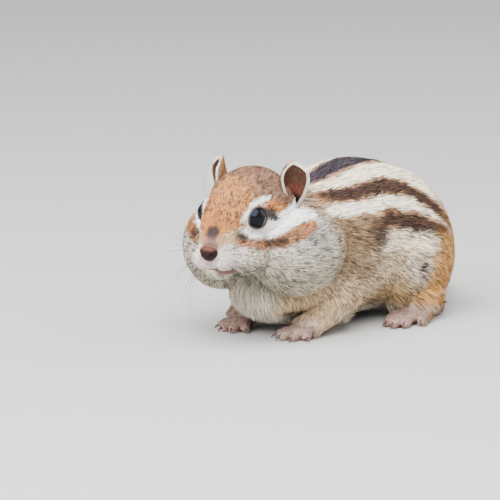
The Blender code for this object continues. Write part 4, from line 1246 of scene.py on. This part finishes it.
def coat_flow(p, n, shares):
    """The direction in which the hair lies, along the skin."""
    q = from_head(p)
    from_nose = q - NOSE_TIP
    from_nose[:, 2] = np.where(q[:, 1] > 5, from_nose[:, 2] * 0.7, from_nose[:, 2])
    from_nose[:, 1] += 4.0
    head_way = unit(from_nose @ HEAD_TURN.T)
    x, y, z = p[:, 0], p[:, 1], p[:, 2]
    down = 0.22 + 1.3 * ease(y, 56, 76) + 0.35 * ease(z, 34, 20) + 0.9 * ease(y, 14, 2)
    body_way = unit(np.stack([0.12 * np.sign(x), 1.0 - 0.55 * ease(y, 14, 2), -down], -1))
    leg_way = unit(np.stack([0.1 * np.sign(x), -0.45 + 0.5 * ease(z, 8, 18), -1.0 + 0 * x], -1))
    foot_way = unit(np.stack([0.12 * np.sign(x), -1.0 + 0 * x, -0.25 + 0 * x], -1))
    path = TAIL_PATH[:, :3]
    along = unit(np.gradient(path, axis=0))
    tail_way = along[near_path(p, path)[0]]
    ways = {
        "muzzle": head_way, "face": head_way, "crown": head_way, "cheek": head_way,
        "throat": unit(head_way + body_way * 0.8), "body": body_way, "fringe": body_way, "leg": leg_way,
        "foot": foot_way, "tail": tail_way,
    }
    way = sum(shares[key][:, None] * ways[key] for key in ways)
    way = way + 0.16 * np.stack([waves(p, 9.0, seed) for seed in (11, 12, 13)], -1)
    way = unit(way - np.einsum("ij,ij->i", way, n)[:, None] * n)
    for side, sign in SIDES:
        away = p - on_head(EYE_AT * [sign, 1, 1])
        near = ease(np.linalg.norm(away, axis=1), 8.5, 5.0)
        off = unit(away - np.einsum("ij,ij->i", away, n)[:, None] * n)
        towards = np.minimum(np.einsum("ij,ij->i", way, off), 0.0)
        way = way - (near * towards * 1.1)[:, None] * off + (0.15 * near)[:, None] * off
    return unit(way)


def eye_nearness(p):
    """1 beside an eye and 0 from 5 mm off its rim."""
    gaps = [np.linalg.norm(p - on_head(EYE_AT * [sign, 1, 1]), axis=1) for side, sign in SIDES]
    return ease(np.minimum(*gaps), 8.5, 4.8)


# %% [markdown]
# ## Growing the tufts
# Roots are strewn over the skin by area, as many to the square millimetre as each region says. Every tuft
# is a thin leaf of three triangles that leaves the skin at its lean and bends back towards it. Tufts that
# stand near each other lean to a common point, which makes the coat part into locks as real fur does.

# %% Strew the roots
DENSITY_SHARE = 1.0
# no root and no tip may lie this near to an eye's centre, in mm, and this far beyond its opening, in degrees
BARE_ROOTS, BARE_TIPS = (5.6, 5), (8.0, 1.0)
coat_rng = np.random.default_rng(2024)


def strew(points, tris, normals, density):
    """Roots and normals at random places of the triangles, with a given density at each triangle."""
    corner = points[tris]
    area = np.linalg.norm(np.cross(corner[:, 1] - corner[:, 0], corner[:, 2] - corner[:, 0]), axis=1) / 2
    wanted = np.cumsum(area * density * DENSITY_SHARE)
    pick = np.searchsorted(wanted, coat_rng.random(int(wanted[-1])) * wanted[-1])
    u, v = coat_rng.random((2, len(pick)))
    over = u + v > 1
    u, v = np.where(over, 1 - u, u), np.where(over, 1 - v, v)
    weights = np.stack([1 - u - v, u, v], -1)[..., None]
    return (corner[pick] * weights).sum(axis=1), unit((normals[tris[pick]] * weights).sum(axis=1))


centres = skin_points[skin_tris].mean(axis=1)
centre_shares = region_shares(centres)
density = sum(centre_shares[key] * REGIONS[key][3] for key in REGIONS)
roots, root_normals = strew(skin_points, skin_tris, soft_normals, density)


def over_lip(q, least, more):
    """True near the lip's middle line, within a distance that grows from its right side to its left."""
    gap, s = lip_gap(q)
    return gap < (least + more * ease(s, 0.05, 0.35)) * (1 - s**4)


def bare_places(p, n):
    """True on the eyes and their rims, the nose pad, the lower lip and the soles."""
    q = from_head(p)
    off = (n[:, 2] < -0.55) & (p[:, 2] < FLOOR_LEVEL + 1.2)
    for _, sign in SIDES:
        r, gap = eye_gap(q, sign)
        off |= (r < BARE_ROOTS[0]) & (gap < BARE_ROOTS[1])
    off |= np.linalg.norm((q - NOSE_AT) / (NOSE_RADII + [0.1, 0.3, 0.1]), axis=1) < 1.0
    return off | over_lip(q, 0.25, 1.5)


grown = ~bare_places(roots, root_normals)
roots, root_normals = roots[grown], root_normals[grown]
shares = region_shares(roots)
flow = coat_flow(roots, root_normals, shares)
print(len(roots), "tufts")

# %% Shape the tufts
TUFT_BOW, ROOT_SUNK = 0.17, 0.12
FINE_LOCK, COARSE_LOCK = 0.75, 1.5


def blended(shares, column):
    """The mean of one column of the regions' table, weighted by the shares."""
    return sum(shares[key] * REGIONS[key][column] for key in REGIONS)


def clump(points, values, cell):
    """The mean of values over the tufts whose roots share a small, warped cell."""
    warped = points + np.stack([waves(points, 4 * cell, seed) for seed in (21, 22, 23)], -1) * cell * 0.7
    keys = np.floor(warped / cell).astype(np.int64)
    keys = (keys[:, 0] * 4096 + keys[:, 1]) * 4096 + keys[:, 2]
    _, index = np.unique(keys, return_inverse=True)
    count = np.bincount(index)
    mean = np.stack([np.bincount(index, values[:, i]) / count for i in range(values.shape[1])], -1)
    return mean[index], index


def jitter(way, n, degrees):
    """Turns each direction about its normal by a random angle."""
    angle = np.radians(coat_rng.normal(0.0, degrees, len(way)))[:, None]
    return unit(way * np.cos(angle) + np.cross(n, way) * np.sin(angle))


length = blended(shares, 0) * coat_rng.uniform(0.72, 1.18, len(roots)) * (1 - 0.55 * eye_nearness(roots))
half_width = blended(shares, 1) * coat_rng.uniform(0.75, 1.25, len(roots))
lean = np.radians(blended(shares, 2) * coat_rng.uniform(0.5, 1.45, len(roots)))
sideways = ease(np.abs(root_normals[:, 2]), 0.8, 0.3) * shares["tail"]
lean += sideways * math.radians(18)
flow = jitter(flow, root_normals, 9.0)


def tuft_points(roots, n, way, length, half_width, lean, cell, pull=0.5):
    """Five points for each tuft: two at the root, two in the middle and one at the tip."""
    rise = lean + TUFT_BOW
    middle = roots + (length * 0.5)[:, None] * (np.cos(rise)[:, None] * way + np.sin(rise)[:, None] * n)
    fall = np.maximum(lean - TUFT_BOW, 0.0)
    tip = middle + (length * 0.5)[:, None] * (np.cos(fall)[:, None] * way + np.sin(fall)[:, None] * n)
    common, _ = clump(roots, tip, cell)
    tip = tip + pull * (common - tip)
    roll = np.radians(coat_rng.normal(0.0, 16.0, len(roots)))[:, None]
    across = np.cross(way, n)
    across = unit(across * np.cos(roll) + n * np.sin(roll)) * half_width[:, None]
    start = roots - ROOT_SUNK * n
    return np.stack([start - across * 0.8, start + across * 0.8, middle - across, middle + across, tip], 1)


short_hair = shares["muzzle"] + shares["face"] + shares["foot"] > 0.5
cell_size = np.where(short_hair, FINE_LOCK, COARSE_LOCK)
tufts = np.empty((len(roots), 5, 3))
for size in (FINE_LOCK, COARSE_LOCK):
    chosen = cell_size == size
    tufts[chosen] = tuft_points(roots[chosen], root_normals[chosen], flow[chosen], length[chosen],
                                half_width[chosen], lean[chosen], size)
tufts[..., 2] = np.maximum(tufts[..., 2], FLOOR_LEVEL + 0.03)


def covers_bare(ends):
    """True for tufts whose ends lie over an eye, the nose pad or the lip."""
    q = from_head(ends)
    over = np.linalg.norm((q - NOSE_AT) / (NOSE_RADII + 0.15), axis=1) < 1.0
    over |= over_lip(q, 0.1, 1.2)
    for _, sign in SIDES:
        r, gap = eye_gap(q, sign)
        over |= (r < BARE_TIPS[0]) & (gap < BARE_TIPS[1])
    return over


kept = ~(covers_bare(tufts[:, 4]) | covers_bare(tufts[:, 2]))
tufts, roots, root_normals, flow, length, sideways = (
    a[kept] for a in (tufts, roots, root_normals, flow, length, sideways))
shares = {key: share[kept] for key, share in shares.items()}

# %% Colour the tufts
TICKS = {
    "muzzle": 0.05, "face": 0.54, "crown": 0.66, "cheek": 0.34, "throat": 0.12, "body": 0.32,
    "fringe": 0.10, "leg": 0.16, "foot": 0.0, "tail": 0.45,
}
COLOUR_SHAKE, HAIR_SPREAD, LOCK_CELL, LOCK_SPREAD = 0.28, 0.17, 0.8, 0.15
STREAK_CELL, STREAK_SHARE, STREAK_MORE, STREAK_LESS = 0.62, 0.34, 2.6, 0.15
WHITE_LEVEL, WHITE_TICKS = srgb(225, 215, 200).mean(), 0.25
DARK_LEVEL, PALE_TICKS, TICK_SHADE = 0.16, 0.16, np.array([0.34, 0.34, 0.18])
# brightness at each tuft's five points: roots darkened as painted shade deep in the coat, tips lightened a
# little as painted light
TUFT_PAINTED_SHADE = np.array([0.62, 0.62, 0.95, 0.95, 1.06])
outside = roots + root_normals * coat_depth(roots)[:, None] + flow * (0.4 * length)[:, None]
base = coat_colour(outside + coat_rng.normal(0, COLOUR_SHAKE, roots.shape))
_, lock = clump(roots, roots, LOCK_CELL)
lock_light = np.random.default_rng(5).normal(1.0, LOCK_SPREAD, lock.max() + 1)[lock]
light = np.clip(coat_rng.normal(1.0, HAIR_SPREAD, len(roots)) * lock_light, 0.5, 1.6)
tick_chance = sum(shares[key] * TICKS[key] for key in TICKS)
brightness = base.mean(axis=1)
tick_chance = tick_chance * np.where(brightness > WHITE_LEVEL, WHITE_TICKS, 1.0)
_, streak = clump(roots, roots, STREAK_CELL)
in_streak = np.random.default_rng(6).random(streak.max() + 1)[streak] < STREAK_SHARE
tick_chance = tick_chance * np.where(in_streak, STREAK_MORE, STREAK_LESS)
ticked = coat_rng.random(len(roots)) < tick_chance
pale_tick = coat_rng.random(len(roots)) < np.where(brightness < DARK_LEVEL, 0.0, PALE_TICKS)
tuft_colour = base[:, None, :] * (light[:, None] * TUFT_PAINTED_SHADE)[..., None]
tuft_colour[ticked, 2:] *= TICK_SHADE[None, :, None]
tuft_colour[pale_tick, 4] = 0.5 * tuft_colour[pale_tick, 4] + 0.5 * CREAM
tail_hair = shares["tail"] > 0.5
ochre_root, black_band, pale_tip = srgb(176, 132, 84), srgb(62, 50, 44), srgb(222, 208, 184)
tail_light = light[tail_hair][:, None]
tuft_colour[tail_hair, 0] = tuft_colour[tail_hair, 1] = ochre_root * tail_light
edge_chance = 0.35 + 0.5 * sideways[tail_hair][:, None]
tuft_colour[tail_hair, 2] = tuft_colour[tail_hair, 3] = np.where(
    coat_rng.random((tail_hair.sum(), 1)) < edge_chance, black_band, ochre_root) * tail_light
tuft_colour[tail_hair, 4] = np.where(
    coat_rng.random((tail_hair.sum(), 1)) < edge_chance, pale_tip, OCHRE) * tail_light
print("mean colour", tuft_colour.mean(axis=(0, 1)).round(3))

# %% [markdown]
# ## Fur as pieces
# The export needs pieces of under 200,000 triangles, and a map named OFBake, on which each tuft is a small
# patch at its root's place. The body is unrolled round its own long axis, like the label of a jar, and
# the limbs and the tail about theirs.

# %% Make the coat pieces
PATCH = 0.003
fur_material, fur_shader = attribute_material("fur", 0.6, sheen=0.03)
fur_shader.inputs["Specular IOR Level"].default_value = 0.22
TUFT_LOOPS = np.array([0, 1, 3, 2, 2, 3, 4])
PATCH_PLACES = np.array([[-0.5, 0], [0.5, 0], [-0.5, 0.5], [0.5, 0.5], [0, 1.0]])


def unrolled(p, axis_from, axis_to):
    """Places on an unwrap about an axis: how far round it, and how far along it, both 0 to 1."""
    axis_from, axis_to = np.asarray(axis_from, float), np.asarray(axis_to, float)
    along = unit(axis_to - axis_from)
    side = np.array([1.0, 0.0, 0.0])
    side = unit(side - (side @ along) * along)
    other = np.cross(along, side)
    v = (p - axis_from) @ along
    u = np.arctan2((p - axis_from) @ other, (p - axis_from) @ side) / (2 * np.pi) + 0.5
    return np.stack([u, (v - v.min()) / max(float(np.ptp(v)), 1e-6)], -1)


def coat_piece(name, points, colour, places, slot):
    """One object of many tufts, with its colours and its OFBake map."""
    count = len(points)
    mesh = bpy.data.meshes.new(name)
    mesh.vertices.add(count * 5)
    mesh.vertices.foreach_set("co", in_scene(points).astype(np.float32).ravel())
    loops = (np.arange(count)[:, None] * 5 + TUFT_LOOPS).ravel()
    mesh.loops.add(len(loops))
    mesh.loops.foreach_set("vertex_index", loops.astype(np.int32))
    mesh.polygons.add(count * 2)
    starts = (np.arange(count)[:, None] * 7 + np.array([0, 4])).ravel()
    mesh.polygons.foreach_set("loop_start", starts.astype(np.int32))
    mesh.update(calc_edges=True)
    mesh.shade_smooth()
    write_colour(mesh, colour.reshape(-1, 3))
    layer = mesh.uv_layers.new(name="OFBake")
    spread = places * (1 - 2 * PATCH) + PATCH
    uv = spread[:, None, :] + (PATCH_PLACES - [0, 0.5]) * PATCH
    layer.data.foreach_set("uv", uv.reshape(-1, 2)[loops].astype(np.float32).ravel())
    mesh.validate()
    obj = bpy.data.objects.new(name, mesh)
    bpy.context.scene.collection.objects.link(obj)
    return declare(obj, fur_material, slot)


# %% Share the tufts out among the pieces
left = roots[:, 0] > 0
head_part = shares["muzzle"] + shares["face"] + shares["crown"] + shares["cheek"] + shares["throat"] > 0.5
is_face = shares["muzzle"] + shares["face"] > 0.5
is_tail, is_foot = shares["tail"] > 0.5, shares["foot"] > 0.5
is_leg = (shares["leg"] > 0.5) & ~is_foot
trunk_part = ~(head_part | is_tail | is_foot | is_leg)
NECK_AXIS = (on_head([0, -16, -8]), on_head([0, 30, -12]))
BODY_AXIS = ([0, -10, 28], [0, 82, 24])
FORE_AND_HIND, TRUNK_CUTS = 30, (-99, 22, 44, 60, 99)
groups = [
    ("coat_face_left", is_face & left, NECK_AXIS, "coat"),
    ("coat_face_right", is_face & ~left, NECK_AXIS, "coat"),
    ("coat_head_left", head_part & ~is_face & left, NECK_AXIS, "cheek"),
    ("coat_head_right", head_part & ~is_face & ~left, NECK_AXIS, "cheek"),
    ("coat_tail", is_tail, ([0, 72, 12], [-60, 100, 7]), "tail"),
]
for side, sign in SIDES:
    own = roots[:, 0] * sign > 0
    limb, fore = (is_leg | is_foot) & own, roots[:, 1] < FORE_AND_HIND
    fore_axis = ([14 * sign, 12, 26], [13 * sign, -6, 1])
    hind_axis = ([22 * sign, 66, 4], [26 * sign, 30, 3])
    groups.append((f"coat_foreleg_{side}", limb & fore, fore_axis, "leg"))
    groups.append((f"coat_hindleg_{side}", limb & ~fore, hind_axis, "leg"))
    for i, (low, high) in enumerate(zip(TRUNK_CUTS[:-1], TRUNK_CUTS[1:])):
        chosen = trunk_part & own & (roots[:, 1] >= low) & (roots[:, 1] < high)
        groups.append((f"coat_trunk_{side}_{i + 1}", chosen, BODY_AXIS, "coat"))
total = 0
for name, chosen, axis, slot in groups:
    coat_piece(name, tufts[chosen], tuft_colour[chosen], unrolled(roots[chosen], *axis), slot)
    total += int(chosen.sum()) * 3
print("triangles of the coat so far", total)

# %% [markdown]
# ## Hair on the ears
# The back of each ear and a narrow fringe round its edge are haired. The roots are strewn over the two
# coordinates of the leaf, and the hairs at the edge point outwards and stand close.

# %% Ear hair
EAR_TUFTS, FRINGE_TUFTS, EAR_TUFT_HALF, EAR_FRINGE = 7000, 3000, 0.075, srgb(238, 230, 220)


def ear_hair(sign, count, fringe):
    """Tufts on an ear. Fringe hairs stand on its edge, and the others lie on both its faces."""
    count = int(count * DENSITY_SHARE)
    rng = np.random.default_rng(70 + fringe)
    if fringe:
        t = rng.uniform(-1, 1, count)
        rise = np.clip(1.02 - 0.92 * np.abs(t) ** 1.6, 0.1, 0.985)
        across = np.sign(t) * np.clip(np.abs(t) * 3.0, 0, 0.99)
    else:
        rise, across = rng.uniform(0.12, 0.96, count), rng.uniform(-0.97, 0.97, count)
    p = ear_place(sign, rise, across)
    n = ear_normal(sign, rise, across)
    centre = ear_place(sign, np.full(count, 0.5), np.zeros(count))
    up = unit(ear_place(sign, rise + 0.01, across) - ear_place(sign, rise - 0.01, across))
    outward = unit(p - centre)
    which = np.where(rng.random(count) < (0.5 if fringe else 0.62), 1.0, -1.0)
    back_sign = 1.0 if back_is_first(sign) else -1.0
    n = n * (which * back_sign)[:, None]
    outer = which > 0
    if fringe:
        way = unit(outward + 0.35 * up + rng.normal(0, 0.22, p.shape))
        size = rng.uniform(0.5, 1.1, count)
    else:
        way = unit(up + rng.normal(0, 0.2, p.shape))
        size = np.where(outer, rng.uniform(1.4, 2.4, count), rng.uniform(0.5, 1.0, count))
    way = unit(way - np.einsum("ij,ij->i", way, n)[:, None] * n)
    lift = np.radians(rng.uniform(6, 22, count))
    points = tuft_points(p + 0.2 * n, n, way, size, np.full(count, EAR_TUFT_HALF), lift, 0.7, 0.3)
    back, inside = (ear_colours(rise, across * sign, is_back) for is_back in (True, False))
    colour = np.tile(EAR_FRINGE, (count, 1)) if fringe else np.where(outer[:, None], back, inside)
    # the ear hairs too are darker at the root and lighter at the tip: painted shade and painted light
    colour = colour[:, None, :] * (rng.normal(1.0, 0.12, count)[:, None] * TUFT_PAINTED_SHADE)[..., None]
    return points, np.clip(colour, 0, 1), np.stack([across * 0.5 + 0.5, rise], -1)


for side, sign in SIDES:
    grown_hair = [ear_hair(sign, EAR_TUFTS, False), ear_hair(sign, FRINGE_TUFTS, True)]
    parts = [np.concatenate(arrays) for arrays in zip(*grown_hair)]
    coat_piece(f"coat_ear_{side}", *parts, "ear")
